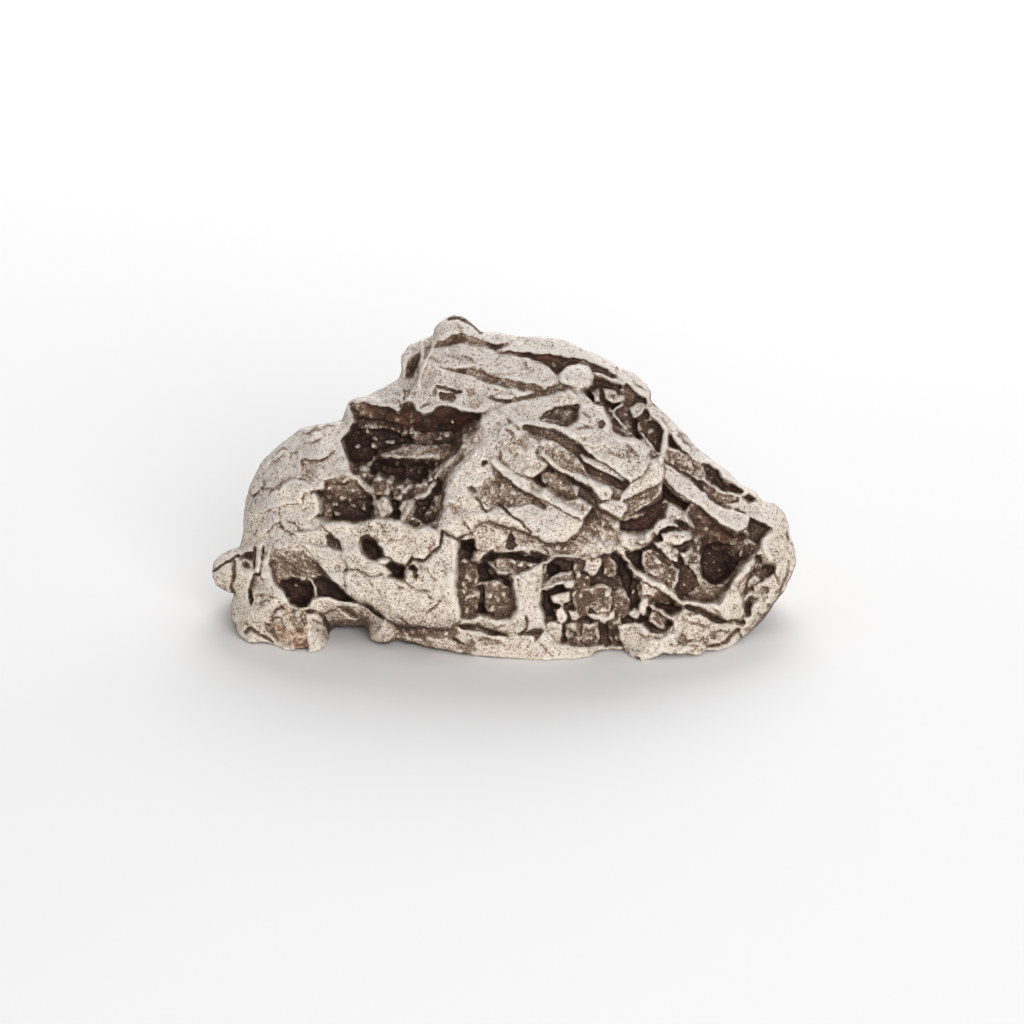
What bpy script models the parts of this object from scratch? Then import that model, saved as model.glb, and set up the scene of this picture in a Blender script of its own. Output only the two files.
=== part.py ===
"""A small iron meteorite: one natural lump of nickel-iron with plates, bars and deep hollows.

Frame: metres, +Z up, the lump rests on z = 0 and its front faces -Y.  Its origin is the middle
of the bottom of its bounding box.

The front is laid out on a chart, a plain drawing of the front face seen from 20 degrees above.
One chart step is a sixteenth of a millimetre, x runs to the right and y runs down.  A place on
the lump is (across, up, out): across and up lie in the chart, out points at the viewer.
"""
import math

import bmesh
import bpy
from mathutils import Matrix, Vector

# ---------------------------------------------------------------- driving dimensions
MM = 0.001
CHART_STEP = 0.0625            # mm on the lump for one step of the chart
CHART_FOOT = (504, 616)        # chart point that lies over the frame's origin
CHART_TILT = math.radians(20)  # the chart leans back by this much
FRAME_SHIFT = (-0.02, -2.89, 0.6)  # mm, brings the bottom of the box to the origin

FRONT_REACH = 6.9              # mm, how far out the front stands at the foot
FRONT_LEAN = 0.0145            # mm per mm^2, how the front falls back towards the top
FRONT_TAPER = 0.011            # mm per mm^2, how it falls back towards both ends
FRONT_ROUND = 3.2              # mm, width of the rounded rim in front
BACK_REACH = 12.2              # mm, how far the back stands behind the rim
BACK_LEAN = 0.045              # mm per mm^2, how the back closes in towards the top
BACK_TAPER = 0.008             # mm per mm^2, how it closes in towards both ends
BACK_ROUND = 7.0               # mm, width of the rounded rim behind
RIM_OUT = 0.8                  # mm, where the rim lies above the foot
RIM_FOOT = 2.2                 # mm outwards for each mm that the rim drops below the chart's foot
RINGS = (1.0, 0.965, 0.92, 0.86, 0.78, 0.66, 0.5, 0.33, 0.16)
CORE_MIDDLE = (504, 510)       # chart point that the core's rings close on

PLATE_ROOT = 3.5               # mm, how deep a plate is rooted below its top
WALL = 1.3                     # mm, least thickness that a hollow leaves
CUT_TOP = 16.0                 # mm, out of the lump, where the cutters end
VOXEL = 0.3                    # mm, cell size that fuses the parts of the lump
FACES = 9300                   # triangles that are kept
BODY_COLOUR = (0.44, 0.40, 0.37, 1.0)

# ---------------------------------------------------------------- the chart
# Plates and hollows: height above the core's face in mm, slope to the right and upwards,
# and the outline in chart steps.
OUTLINE = (
    (212, 570), (214, 560), (222, 552), (240, 545), (243, 535), (244, 515), (246, 500), (252, 480),
    (262, 462), (275, 448), (290, 436), (303, 426), (322, 424), (342, 420), (348, 402), (356, 397),
    (366, 396), (380, 389), (398, 378), (401, 370), (401, 355), (408, 346), (420, 340), (432, 336),
    (436, 327), (444, 319), (452, 316), (463, 317), (472, 323), (482, 332), (500, 333), (524, 337),
    (545, 338), (565, 341), (585, 350), (610, 361), (632, 373), (645, 383), (651, 392), (650, 400),
    (665, 413), (680, 428), (700, 450), (718, 464), (732, 475), (740, 484), (755, 490), (763, 500),
    (775, 503), (785, 513), (790, 528), (790, 535), (795, 548), (796, 560), (792, 572), (785, 588),
    (774, 602), (763, 617), (748, 630), (735, 640), (715, 652), (690, 661), (665, 663), (640, 660),
    (628, 652), (622, 646), (610, 646), (600, 648), (588, 654), (570, 658), (545, 659), (510, 656),
    (480, 653), (450, 648), (420, 642), (398, 637), (390, 640), (380, 641), (372, 637), (368, 628),
    (365, 625), (350, 624), (335, 625), (330, 630), (329, 640), (324, 647), (315, 651), (300, 650),
    (288, 648), (278, 643), (268, 640), (250, 639), (240, 632), (233, 620), (231, 605), (235, 592),
    (228, 590), (216, 583),)

# MASSES: the big plates and lumps that stand out of the core
MASSES = {
    "cheek": (0.35, 0, 0, (
        (300, 540), (345, 548), (352, 560), (350, 572), (345, 584), (330, 575), (322, 563), (312, 551))),
    "panel": (0.9, 0.03, 0, (
        (322, 520), (360, 522), (375, 518), (400, 520), (415, 527), (430, 524), (441, 530), (457, 537),
        (459, 545), (457, 580), (459, 605), (461, 617), (450, 625), (430, 624), (398, 621), (385, 614),
        (372, 604), (360, 599), (350, 590), (346, 575), (350, 568), (344, 555), (343, 540), (330, 530))),
    "roof_plate": (0.5, 0, -0.05, (
        (432, 350), (440, 347), (460, 344), (490, 350), (505, 352), (530, 360), (548, 368), (560, 378),
        (556, 386), (538, 394), (520, 398), (505, 404), (482, 414), (462, 410), (455, 407), (444, 405),
        (437, 407), (431, 413), (424, 415), (418, 411), (415, 404), (408, 402), (405, 404), (412, 392),
        (418, 380), (421, 368))),
    "eave": (0.4, 0, 0, (
        (350, 401), (356, 398), (366, 397), (378, 400), (395, 394), (405, 392), (406, 404), (400, 413),
        (394, 409), (385, 407), (365, 403))),
    "mid_ridge": (1, 0.02, -0.05, (
        (482, 440), (481, 420), (490, 410), (505, 404), (530, 400), (550, 394), (568, 389), (577, 387),
        (583, 395), (592, 404), (577, 407), (555, 409), (545, 413), (537, 420), (525, 424), (508, 428),
        (498, 436))),
    "shoulder": (1.05, 0.02, 0.02, (
        (482, 415), (500, 432), (505, 440), (503, 455), (495, 467), (520, 482), (540, 495), (560, 505),
        (580, 512), (583, 520), (574, 533), (565, 540), (545, 541), (530, 532), (505, 524), (489, 520),
        (478, 524), (470, 533), (457, 537), (443, 532), (436, 530), (441, 520), (444, 510), (445, 490),
        (450, 475), (460, 462), (470, 452), (481, 440))),
    "block": (0.95, 0, 0, (
        (503, 440), (525, 425), (560, 437), (600, 458), (630, 480), (640, 470), (660, 465), (661, 480),
        (659, 490), (640, 502), (630, 510), (617, 517), (605, 507), (590, 490), (570, 478), (545, 465),
        (535, 472), (520, 478), (505, 468), (500, 455))),
    "top_bar": (1.95, 0, -0.12, (
        (523, 424), (535, 421), (552, 424), (575, 427), (577, 415), (577, 407), (590, 404), (602, 408),
        (610, 418), (611, 432), (625, 439), (640, 441), (648, 455), (646, 465), (630, 481), (618, 476),
        (600, 460), (580, 446), (560, 436), (540, 427))),
    "block_end": (1.55, -0.05, 0.1, (
        (624, 489), (640, 478), (648, 465), (657, 468), (661, 480), (658, 488), (640, 497), (626, 500))),
    "bar_b": (1.5, 0, 0, (
        (503, 442), (520, 438), (535, 437), (541, 443), (536, 449), (528, 452), (536, 458), (541, 460),
        (547, 468), (533, 475), (525, 478), (512, 468), (502, 461), (508, 452))),
    "bar_b2": (1.25, 0, 0, (
        (541, 443), (556, 441), (570, 449), (580, 458), (582, 470), (590, 480), (580, 480), (565, 472),
        (548, 462), (540, 452))),
    "peak": (0.45, 0, 0, (
        (434, 347), (433, 336), (440, 322), (452, 315), (463, 316), (472, 323), (482, 331), (500, 332),
        (524, 336), (515, 342), (503, 346), (490, 346), (480, 341), (465, 335), (452, 336), (445, 341),
        (440, 344))),
    "crest": (0.5, 0, 0, (
        (498, 350), (512, 342), (526, 338), (545, 336), (565, 340), (585, 349), (610, 360), (632, 372),
        (647, 383), (652, 392), (647, 399), (638, 395), (628, 385), (618, 380), (610, 374), (598, 367),
        (588, 362), (575, 358), (560, 357), (545, 355), (525, 354), (510, 352))),
    "ball": (0.95, 0, 0, (
        (559, 375), (566, 367), (578, 364), (588, 368), (592, 377), (590, 386), (580, 390), (568, 386),
        (560, 381))),
}

# HOLLOWS: the caves, grooves and sunk faces between them
HOLLOWS = {
    "hollow_roof": (-3, 0, 0.1, (
        (349, 402), (365, 403), (385, 407), (394, 409), (400, 413), (405, 404), (410, 402), (415, 404),
        (418, 411), (424, 415), (431, 413), (437, 407), (444, 405), (455, 407), (462, 410), (482, 414),
        (480, 437), (462, 440), (440, 442), (412, 447), (385, 444), (360, 440), (350, 434), (354, 424),
        (352, 419), (347, 417))),
    "hollow_left": (-2.6, 0, 0, (
        (342, 437), (350, 434), (360, 438), (385, 444), (400, 452), (408, 460), (404, 474), (392, 478),
        (378, 475), (360, 470), (352, 462), (344, 450), (349, 444))),
    "hollow_low": (-2.4, 0, 0, (
        (385, 460), (430, 458), (436, 468), (420, 480), (408, 478), (395, 474), (385, 468))),
    "right_wall": (-1, 0.35, 0.1, (
        (430, 440), (462, 440), (480, 437), (470, 450), (460, 462), (450, 475), (445, 490), (444, 505),
        (440, 522), (425, 525), (412, 520), (405, 500), (412, 485), (425, 470), (432, 455))),
    "lower_pit": (-1.9, 0, 0.12, (
        (326, 479), (345, 474), (358, 478), (368, 488), (376, 494), (380, 505), (378, 517), (360, 522),
        (350, 522), (330, 521), (322, 518), (313, 516), (321, 509), (320, 500), (313, 490), (325, 487))),
    "left_pit": (-1, 0, 0.55, (
        (273, 545), (284, 541), (298, 543), (312, 552), (322, 565), (328, 576), (318, 582), (300, 584),
        (285, 579), (270, 565), (276, 556))),
    "left_pit_deep": (-2.7, 0, 0, (
        (272, 577), (269, 566), (285, 577), (300, 581), (320, 579), (345, 584), (352, 591), (362, 600),
        (345, 598), (325, 593), (317, 597), (310, 602), (302, 606), (290, 602), (284, 592), (283, 585))),
    "knob_gap": (-0.6, 0, 0, (
        (232, 560), (240, 554), (250, 549), (256, 548), (256, 560), (246, 557), (238, 557))),
    "gap2": (-1, 0, 0, (
        (452, 625), (462, 621), (480, 620), (492, 624), (508, 630), (511, 634), (495, 633), (482, 629),
        (465, 627))),
    "cave_mid": (-1.6, 0, 0, (
        (460, 538), (476, 536), (490, 548), (515, 550), (545, 553), (541, 562), (512, 576), (516, 590),
        (516, 605), (512, 615), (495, 616), (480, 613), (470, 618), (462, 617), (459, 605), (458, 580),
        (459, 555))),
    "slot_dark": (-2, 0, 0, (
        (504, 549), (520, 548), (538, 550), (551, 553), (546, 560), (535, 562), (520, 557), (507, 556))),
    "rubble": (-1.1, 0, 0, (
        (541, 562), (550, 554), (575, 557), (600, 553), (616, 548), (630, 560), (642, 580), (640, 600),
        (645, 622), (620, 643), (600, 645), (575, 643), (556, 640), (545, 625), (541, 600), (540, 585))),
    "red_hollow": (-1, 0, 0, (
        (617, 520), (635, 517), (658, 500), (668, 500), (665, 520), (650, 528), (640, 532), (626, 533),
        (617, 530))),
    "deep_shade": (-2.3, 0, 0, (
        (661, 482), (668, 487), (680, 497), (690, 503), (684, 512), (676, 506), (663, 500), (652, 510),
        (640, 515), (625, 518), (640, 508), (657, 496))),
    "mid_ruin": (-1, 0, 0, (
        (650, 520), (680, 518), (700, 530), (703, 548), (700, 575), (690, 600), (675, 600), (672, 588),
        (660, 580), (640, 570), (630, 560), (625, 548), (640, 545), (652, 535))),
    "cave_roof": (-1.4, 0, 0.35, (
        (682, 500), (700, 506), (715, 516), (728, 526), (745, 531), (748, 538), (728, 537), (715, 536),
        (703, 533), (692, 526), (684, 512))),
    "cave_right": (-3.4, 0, 0, (
        (703, 534), (715, 537), (728, 537), (748, 538), (760, 540), (757, 550), (750, 557), (740, 566),
        (730, 578), (722, 584), (710, 585), (700, 578), (696, 566), (700, 550))),
    "wedge_notch": (-1.6, 0, 0.2, (
        (746, 514), (760, 520), (773, 527), (765, 534), (758, 545), (747, 537), (742, 525))),
    "right_nook": (-1.1, 0, 0, (
        (752, 550), (760, 552), (764, 560), (776, 563), (775, 572), (765, 578), (768, 590), (760, 594),
        (748, 590), (742, 600), (740, 590), (742, 578), (750, 562))),
    "groove_up": (-1.5, 0, 0, (
        (665, 432), (672, 436), (682, 448), (698, 462), (708, 462), (718, 470), (722, 478), (735, 482),
        (745, 490), (740, 493), (718, 491), (703, 482), (700, 466), (690, 458), (676, 451), (666, 447))),
    "groove_low": (-1.3, 0, 0, (
        (661, 459), (666, 459), (680, 468), (695, 478), (706, 482), (716, 491), (738, 494), (738, 501),
        (722, 503), (728, 508), (718, 507), (708, 499), (695, 488), (682, 476), (668, 467))),
    "shell_zone": (-0.9, 0, 0, (
        (590, 386), (594, 378), (604, 379), (618, 383), (628, 386), (640, 396), (648, 400), (645, 408),
        (652, 416), (660, 425), (663, 440), (660, 452), (655, 455), (645, 440), (634, 440), (622, 436),
        (612, 432), (610, 418), (602, 408), (592, 404), (583, 395), (582, 388))),
    "crest_gap": (-0.55, 0, 0, (
        (434, 341), (444, 342), (452, 336), (462, 334), (475, 337), (485, 341), (500, 344), (512, 341),
        (500, 349), (485, 347), (470, 343), (455, 345), (440, 348))),
    "crest_recess": (-0.55, 0, 0, (
        (505, 353), (525, 355), (545, 356), (560, 358), (575, 359), (584, 364), (576, 367), (564, 372),
        (560, 379), (546, 369), (525, 362))),
    "tl_recess": (-0.8, 0, 0, (
        (410, 350), (421, 340), (422, 352), (421, 364), (412, 378), (405, 377), (408, 362))),
    "channel": (0.25, 0, 0, (
        (533, 477), (547, 468), (560, 475), (580, 487), (598, 502), (617, 517), (606, 520), (592, 507),
        (590, 505), (578, 497), (565, 498), (550, 490))),
    "bar_wall": (0.6, 0, 0, (
        (580, 462), (595, 465), (610, 473), (622, 480), (627, 490), (618, 495), (605, 485), (590, 480),
        (582, 472))),
    "sunk_facet": (0.75, 0, 0, (
        (466, 486), (478, 486), (488, 480), (493, 470), (505, 474), (520, 485), (535, 497), (530, 500),
        (515, 501), (507, 506), (495, 505), (486, 511), (478, 503), (472, 495))),
    "pit_oval": (-1.1, 0, 0, (
        (362, 542), (364, 536), (374, 538), (384, 546), (386, 555), (378, 560), (371, 559), (362, 548))),
    "pit_hex": (-1, 0, 0, (
        (386, 562), (389, 560), (398, 560), (409, 563), (407, 572), (406, 581), (395, 577), (386, 574),
        (390, 571), (384, 564))),
    "ridge_hollow": (-0.2, 0, 0, (
        (539, 420), (545, 413), (555, 409), (574, 408), (577, 416), (573, 425), (562, 427), (550, 424))),
    "roof_groove": (0.1, 0, 0, (
        (432, 363), (442, 367), (455, 370), (470, 368), (482, 369), (490, 373), (500, 376), (515, 380),
        (530, 383), (545, 387), (556, 381), (559, 386), (548, 394), (536, 396), (520, 392), (505, 389),
        (490, 385), (475, 380), (460, 377), (446, 372))),
    "notch": (-1, 0, 0, (
        (507, 534), (511, 529), (518, 537), (520, 542), (512, 549), (505, 546))),
}

# LEDGES: the ledges, bars, blades and loose-looking blocks inside and across the hollows
LEDGES = {
    "shelf": (-1.3, 0, -0.5, (
        (400, 446), (418, 442), (440, 441), (462, 440), (458, 452), (448, 457), (430, 458), (412, 460),
        (398, 459), (394, 452))),
    "pit_slab": (-0.9, 0.1, 0.35, (
        (326, 482), (345, 478), (358, 480), (368, 489), (376, 495), (366, 498), (350, 499), (336, 498),
        (324, 494))),
    "crystal1": (-0.6, 0.1, -0.2, (
        (373, 484), (380, 475), (392, 479), (395, 488), (388, 495), (377, 494))),
    "crystal2": (-0.2, 0, -0.1, (
        (376, 510), (379, 500), (384, 495), (390, 500), (393, 508), (390, 515), (383, 519), (376, 517))),
    "crystal3": (-0.5, 0, 0, (
        (394, 490), (402, 484), (411, 483), (410, 492), (402, 499), (394, 498))),
    "splinter2": (-0.1, 0.05, 0, (
        (404, 500), (412, 500), (420, 506), (414, 512), (408, 520), (402, 518), (400, 508))),
    "left_step": (-0.6, 0, -0.1, (
        (313, 601), (322, 594), (340, 597), (352, 601), (364, 610), (366, 622), (350, 623), (330, 620),
        (318, 612))),
    "knob_low": (0.25, 0, 0, (
        (370, 623), (380, 619), (392, 620), (398, 625), (396, 634), (385, 640), (374, 636))),
    "cave_floor": (-0.9, 0.1, 0, (
        (484, 583), (495, 584), (513, 588), (516, 600), (512, 614), (497, 613), (484, 603))),
    "brow": (0.35, 0, 0.05, (
        (460, 539), (470, 531), (478, 523), (490, 521), (502, 526), (508, 534), (500, 543), (488, 550),
        (480, 560), (472, 558), (478, 547), (472, 540))),
    "crystal5": (-0.45, 0, -0.15, (
        (491, 562), (500, 553), (515, 557), (540, 562), (537, 574), (525, 579), (515, 572), (500, 571))),
    "t_block": (0.2, 0, 0.02, (
        (512, 576), (520, 580), (535, 580), (538, 592), (540, 603), (545, 612), (544, 624), (530, 627),
        (520, 630), (500, 626), (482, 618), (490, 615), (512, 617), (517, 605), (516, 590))),
    "chip1": (-0.4, 0, -0.3, (
        (540, 585), (548, 579), (560, 570), (572, 568), (572, 576), (556, 582), (545, 587))),
    "chip4": (-0.35, 0, 0, (
        (577, 572), (590, 572), (590, 600), (586, 612), (577, 610), (572, 597))),
    "chip5": (-0.35, 0.1, -0.1, (
        (590, 586), (600, 581), (612, 588), (610, 600), (600, 608), (588, 606))),
    "chip8": (-0.45, 0, -0.1, (
        (600, 557), (608, 553), (616, 565), (614, 577), (604, 571))),
    "chip10": (-0.3, 0, 0.2, (
        (560, 618), (572, 616), (578, 630), (570, 641), (560, 636))),
    "chip11": (-0.35, 0, 0.2, (
        (582, 616), (596, 617), (597, 632), (590, 641), (580, 638))),
    "chip12": (-0.45, 0, 0.2, (
        (609, 620), (618, 622), (619, 638), (610, 642), (606, 632))),
    "tongue": (0.25, 0.03, 0.1, (
        (545, 545), (560, 540), (575, 532), (583, 527), (600, 540), (607, 546), (600, 553), (590, 559),
        (575, 557), (560, 553), (550, 553))),
    "tongue2": (0.1, 0, 0.15, (
        (583, 516), (592, 507), (605, 520), (615, 530), (617, 547), (608, 546), (596, 534), (584, 527))),
    "bar_d": (1.6, 0, 0, (
        (543, 461), (560, 468), (575, 474), (590, 481), (602, 481), (612, 492), (608, 498), (598, 500),
        (585, 491), (568, 479), (552, 471))),
    "bar_d_tip": (1.45, 0, 0.1, (
        (598, 503), (610, 498), (622, 502), (626, 507), (617, 516), (608, 510))),
    "bar_c": (1.65, 0, 0, (
        (491, 465), (500, 462), (515, 470), (535, 481), (550, 491), (565, 501), (576, 507), (583, 515),
        (574, 514), (555, 506), (540, 498), (520, 484), (505, 474))),
    "channel_plate": (0.75, 0, 0, (
        (545, 472), (560, 478), (578, 490), (575, 497), (565, 499), (553, 490), (540, 480))),
    "ledge_thin": (1.55, 0, 0, (
        (580, 454), (600, 461), (615, 470), (628, 479), (620, 480), (600, 469), (583, 461))),
    "cup": (0.45, 0, 0, (
        (617, 534), (622, 531), (632, 534), (642, 532), (650, 528), (650, 538), (643, 544), (630, 549),
        (620, 543))),
    "arch": (0.2, 0, 0, (
        (651, 527), (658, 518), (668, 517), (675, 526), (668, 524), (660, 527), (655, 533))),
    "pebble2": (0.15, 0, -0.1, (
        (660, 533), (675, 529), (688, 530), (690, 536), (680, 541), (670, 543), (662, 539))),
    "diamond": (0.2, 0.02, -0.1, (
        (643, 549), (650, 546), (660, 556), (668, 561), (676, 568), (677, 575), (672, 586), (660, 578),
        (645, 570), (641, 560))),
    "blade_mid": (0.6, 0, 0, (
        (628, 563), (640, 569), (650, 576), (662, 583), (671, 590), (680, 600), (675, 600), (668, 594),
        (655, 588), (645, 581), (632, 577))),
    "chip18": (-0.2, 0, -0.2, (
        (651, 602), (656, 608), (664, 615), (660, 623), (648, 619))),
    "shelf_low": (0.3, 0, 0, (
        (617, 621), (640, 621), (647, 629), (643, 636), (660, 634), (672, 626), (670, 618), (678, 612),
        (682, 622), (679, 634), (684, 640), (700, 638), (704, 646), (668, 650), (650, 655), (632, 652),
        (622, 642))),
    "chip20": (-0.05, 0, 0.1, (
        (684, 613), (694, 607), (705, 617), (703, 628), (690, 633), (683, 636), (681, 624))),
    "tooth_big": (0.75, 0, 0.05, (
        (729, 582), (736, 588), (741, 598), (743, 610), (740, 619), (725, 618), (708, 609), (698, 604),
        (680, 602), (680, 598), (700, 600), (716, 602), (723, 593))),
    "leaf1": (0.2, 0, 0, (
        (704, 624), (716, 620), (735, 620), (742, 624), (730, 628), (718, 627), (708, 630))),
    "boss": (0.45, 0, 0, (
        (760, 542), (765, 534), (775, 531), (783, 540), (784, 552), (776, 562), (768, 561), (761, 552))),
    "rib_mid": (-0.15, 0, 0.1, (
        (665, 449), (680, 453), (693, 460), (700, 465), (702, 479), (692, 475), (680, 467), (667, 459))),
    "blade": (0.65, 0, -0.1, (
        (663, 463), (672, 468), (685, 478), (698, 489), (710, 501), (722, 507), (735, 512), (746, 515),
        (744, 525), (735, 530), (722, 524), (710, 514), (700, 507), (688, 500), (676, 490), (667, 482),
        (661, 478))),
    "shell1": (-0.3, 0, 0.1, (
        (602, 388), (612, 389), (620, 397), (622, 402), (612, 403), (604, 397))),
    "shell3": (-0.6, 0, 0.2, (
        (620, 388), (628, 388), (636, 396), (632, 408), (622, 408), (616, 400))),
    "shell4": (0, 0, 0, (
        (630, 408), (637, 402), (644, 404), (640, 413), (633, 417))),
    "chip22": (-0.3, 0, 0, (
        (752, 586), (760, 580), (765, 578), (768, 584), (762, 592), (754, 593))),
}

# HOLES: the last deep holes, cut through the ledges
HOLES = {
    "hole_a": (-2.2, 0, 0, (
        (414, 508), (420, 500), (430, 500), (436, 506), (434, 514), (426, 518), (418, 513))),
    "hole_b": (-1.8, 0, 0, (
        (432, 480), (440, 478), (444, 486), (443, 500), (436, 505), (432, 495), (435, 488))),
    "cave_dark1": (-2.6, 0, 0, (
        (472, 556), (485, 560), (492, 572), (507, 578), (506, 583), (490, 582), (478, 580), (470, 568))),
    "cave_dark2": (-2.6, 0, 0, (
        (470, 596), (480, 594), (484, 604), (495, 612), (480, 612), (470, 606))),
    "hole_e": (-1.9, 0, 0, (
        (546, 565), (553, 560), (560, 563), (560, 572), (548, 576))),
    "hole_f": (-2, 0, 0, (
        (540, 588), (552, 588), (560, 584), (572, 588), (565, 592), (552, 594), (558, 603), (554, 614),
        (548, 612), (541, 603))),
    "hole_g": (-1.1, 0, 0, (
        (598, 622), (606, 622), (608, 636), (602, 643), (597, 636))),
    "hole_h": (-1.7, 0, 0, (
        (618, 552), (626, 560), (632, 576), (630, 596), (622, 584), (616, 570))),
    "hole_i": (-1.3, 0, 0, (
        (628, 556), (640, 550), (641, 560), (640, 568), (630, 563))),
    "dome_hollow": (-1.7, 0, 0, (
        (640, 592), (655, 589), (668, 592), (675, 600), (686, 605), (679, 611), (668, 614), (660, 611),
        (650, 603), (643, 600))),
    "ruin_dark": (-1.5, 0, 0, (
        (678, 560), (690, 566), (700, 580), (712, 592), (700, 600), (684, 600), (676, 590))),
    "low_dark": (-1.3, 0, 0, (
        (630, 600), (640, 594), (650, 603), (664, 613), (672, 622), (660, 632), (648, 630), (640, 622),
        (630, 618))),
    "shell_deep2": (-1.9, 0, 0, (
        (602, 398), (612, 400), (620, 405), (614, 411), (606, 408))),
    "shell_deep3": (-2, 0, 0, (
        (630, 420), (637, 417), (638, 430), (641, 441), (635, 441), (631, 432))),
    "pit_floor_r": (-1.4, 0, 0, (
        (360, 500), (376, 498), (380, 508), (376, 518), (362, 521))),
    "wedge_dark": (-1.5, 0, 0, (
        (742, 600), (748, 592), (760, 596), (753, 602), (751, 612), (745, 616), (743, 608))),
}

# The back, on the same chart as if seen through the lump; heights stand out behind.
BACK_PLATES = {
    "long_ledge": (0.9, 0.02, -0.05, ((262, 522), (300, 497), (352, 484), (405, 466), (452, 442), (500, 408),
        (536, 384), (566, 392), (548, 420), (506, 452), (462, 482), (412, 502), (356, 516), (306, 532))),
    "heel": (0.8, -0.03, 0.05, ((548, 548), (566, 518), (612, 498), (664, 492), (716, 500), (744, 522),
        (726, 546), (676, 560), (612, 566))),
    "saddle_plate": (0.7, 0.0, 0.05, ((424, 420), (434, 392), (470, 372), (520, 358), (574, 360), (604, 378),
        (572, 394), (520, 402), (472, 428))),
    "shoulder_plate": (0.75, 0.04, 0.0, ((590, 412), (626, 400), (664, 424), (700, 462), (704, 486),
        (662, 476), (622, 458), (594, 440))),
    "back_step": (0.7, 0.0, -0.05, ((330, 566), (346, 542), (392, 530), (440, 540), (482, 534), (520, 548),
        (522, 572), (470, 582), (392, 580))),
}
BACK_HOLLOWS = {
    "long_cleft": (-0.9, 0.0, 0.1, ((330, 528), (392, 516), (446, 500), (498, 470), (540, 436), (564, 424),
        (572, 440), (540, 470), (494, 504), (444, 526), (392, 530), (344, 538))),
    "scar": (-1.0, 0.05, 0.0, ((586, 470), (624, 466), (668, 484), (660, 496), (616, 500), (578, 514),
        (566, 496))),
    "pocket": (-1.3, 0.0, 0.1, ((520, 556), (530, 530), (552, 520), (566, 534), (552, 560), (536, 574))),
    "top_dent": (-0.6, 0.0, 0.0, ((476, 402), (510, 386), (540, 380), (530, 396), (498, 414),
        (480, 418))),
    "end_dent": (-0.8, 0.0, 0.0, ((284, 560), (300, 544), (330, 546), (336, 566), (316, 582),
        (292, 578))),
}
# Wide shallow scoops and low swells of the back: (across, up, radius, depth or height), all mm
THUMBPRINTS = ((-11.2, 8.6, 6.0, 0.9), (-1.6, 12.6, 7.0, 1.0), (7.2, 11.2, 6.0, 0.9), (4.0, 5.6, 7.0, 0.9),
               (13.2, 7.6, 5.0, 0.8), (-5.4, 4.6, 6.0, 0.9), (-14.6, 4.0, 5.0, 0.8), (11.4, 2.6, 5.0, 0.7))
SWELLS = ((-7.6, 9.6, 6.5, 0.5), (2.6, 9.0, 7.0, 0.6), (9.6, 6.6, 6.0, 0.5), (-11.0, 4.4, 6.0, 0.5))


# ---------------------------------------------------------------- places on the lump
def across_up(point):
    """Chart point -> (across, up) in mm."""
    across = (point[0] - CHART_FOOT[0]) * CHART_STEP
    up = (CHART_FOOT[1] - point[1]) * CHART_STEP
    return across, up


def on_lump(across, up, out):
    """(across, up, out) in mm -> a point of the frame in metres."""
    sin_t = math.sin(CHART_TILT)
    cos_t = math.cos(CHART_TILT)
    x = across + FRAME_SHIFT[0]
    y = up * sin_t - out * cos_t + FRAME_SHIFT[1]
    z = up * cos_t + out * sin_t + FRAME_SHIFT[2]
    return Vector((x, y, z)) * MM


def bulge(inset, width):
    """Quarter circle: 0 on the rim, 1 from width mm inwards."""
    t = min(max(inset / width, 0.0), 1.0)
    return math.sqrt(1.0 - (1.0 - t) ** 2)


def rim_out(up):
    """How far out the rim lies: it comes forward below the chart's foot."""
    return max(RIM_OUT, -up * RIM_FOOT)


def front_out(across, up, inset):
    """The core's face in front, inset mm inside the outline."""
    rim = rim_out(up)
    face = FRONT_REACH - FRONT_LEAN * (up + 1.0) ** 2 - FRONT_TAPER * across ** 2
    return rim + (face - rim) * bulge(inset, FRONT_ROUND)


def back_out(across, up, inset):
    """The core's face behind."""
    reach = BACK_REACH - BACK_LEAN * (up - 1.0) ** 2 - BACK_TAPER * across ** 2
    return rim_out(up) - max(reach, 1.0) * bulge(inset, BACK_ROUND)


def inset_of(across, up):
    """Distance from a place to the outline, in mm."""
    here = Vector((across, up))
    edge = [Vector(across_up(point)) for point in OUTLINE]
    nearest = 1e9
    for start, end in zip(edge, edge[1:] + edge[:1]):
        run = end - start
        t = min(max((here - start).dot(run) / run.length_squared, 0.0), 1.0)
        nearest = min(nearest, (here - start - run * t).length)
    return nearest


# ---------------------------------------------------------------- making the pieces of the lump
def add_object(name, mesh):
    obj = bpy.data.objects.new(name, mesh)
    bpy.context.scene.collection.objects.link(obj)
    return obj


def fused(obj):
    """Overlapping shells of one mesh become one closed skin."""
    fuse = obj.modifiers.new("fuse", "REMESH")
    fuse.mode = "VOXEL"
    fuse.voxel_size = VOXEL * MM
    return obj


def as_cutter(obj):
    obj.hide_render = True
    obj.display_type = "WIRE"
    return obj


def finish_mesh(name, bm):
    bmesh.ops.recalc_face_normals(bm, faces=bm.faces)
    mesh = bpy.data.meshes.new(name)
    bm.to_mesh(mesh)
    bm.free()
    return mesh


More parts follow.
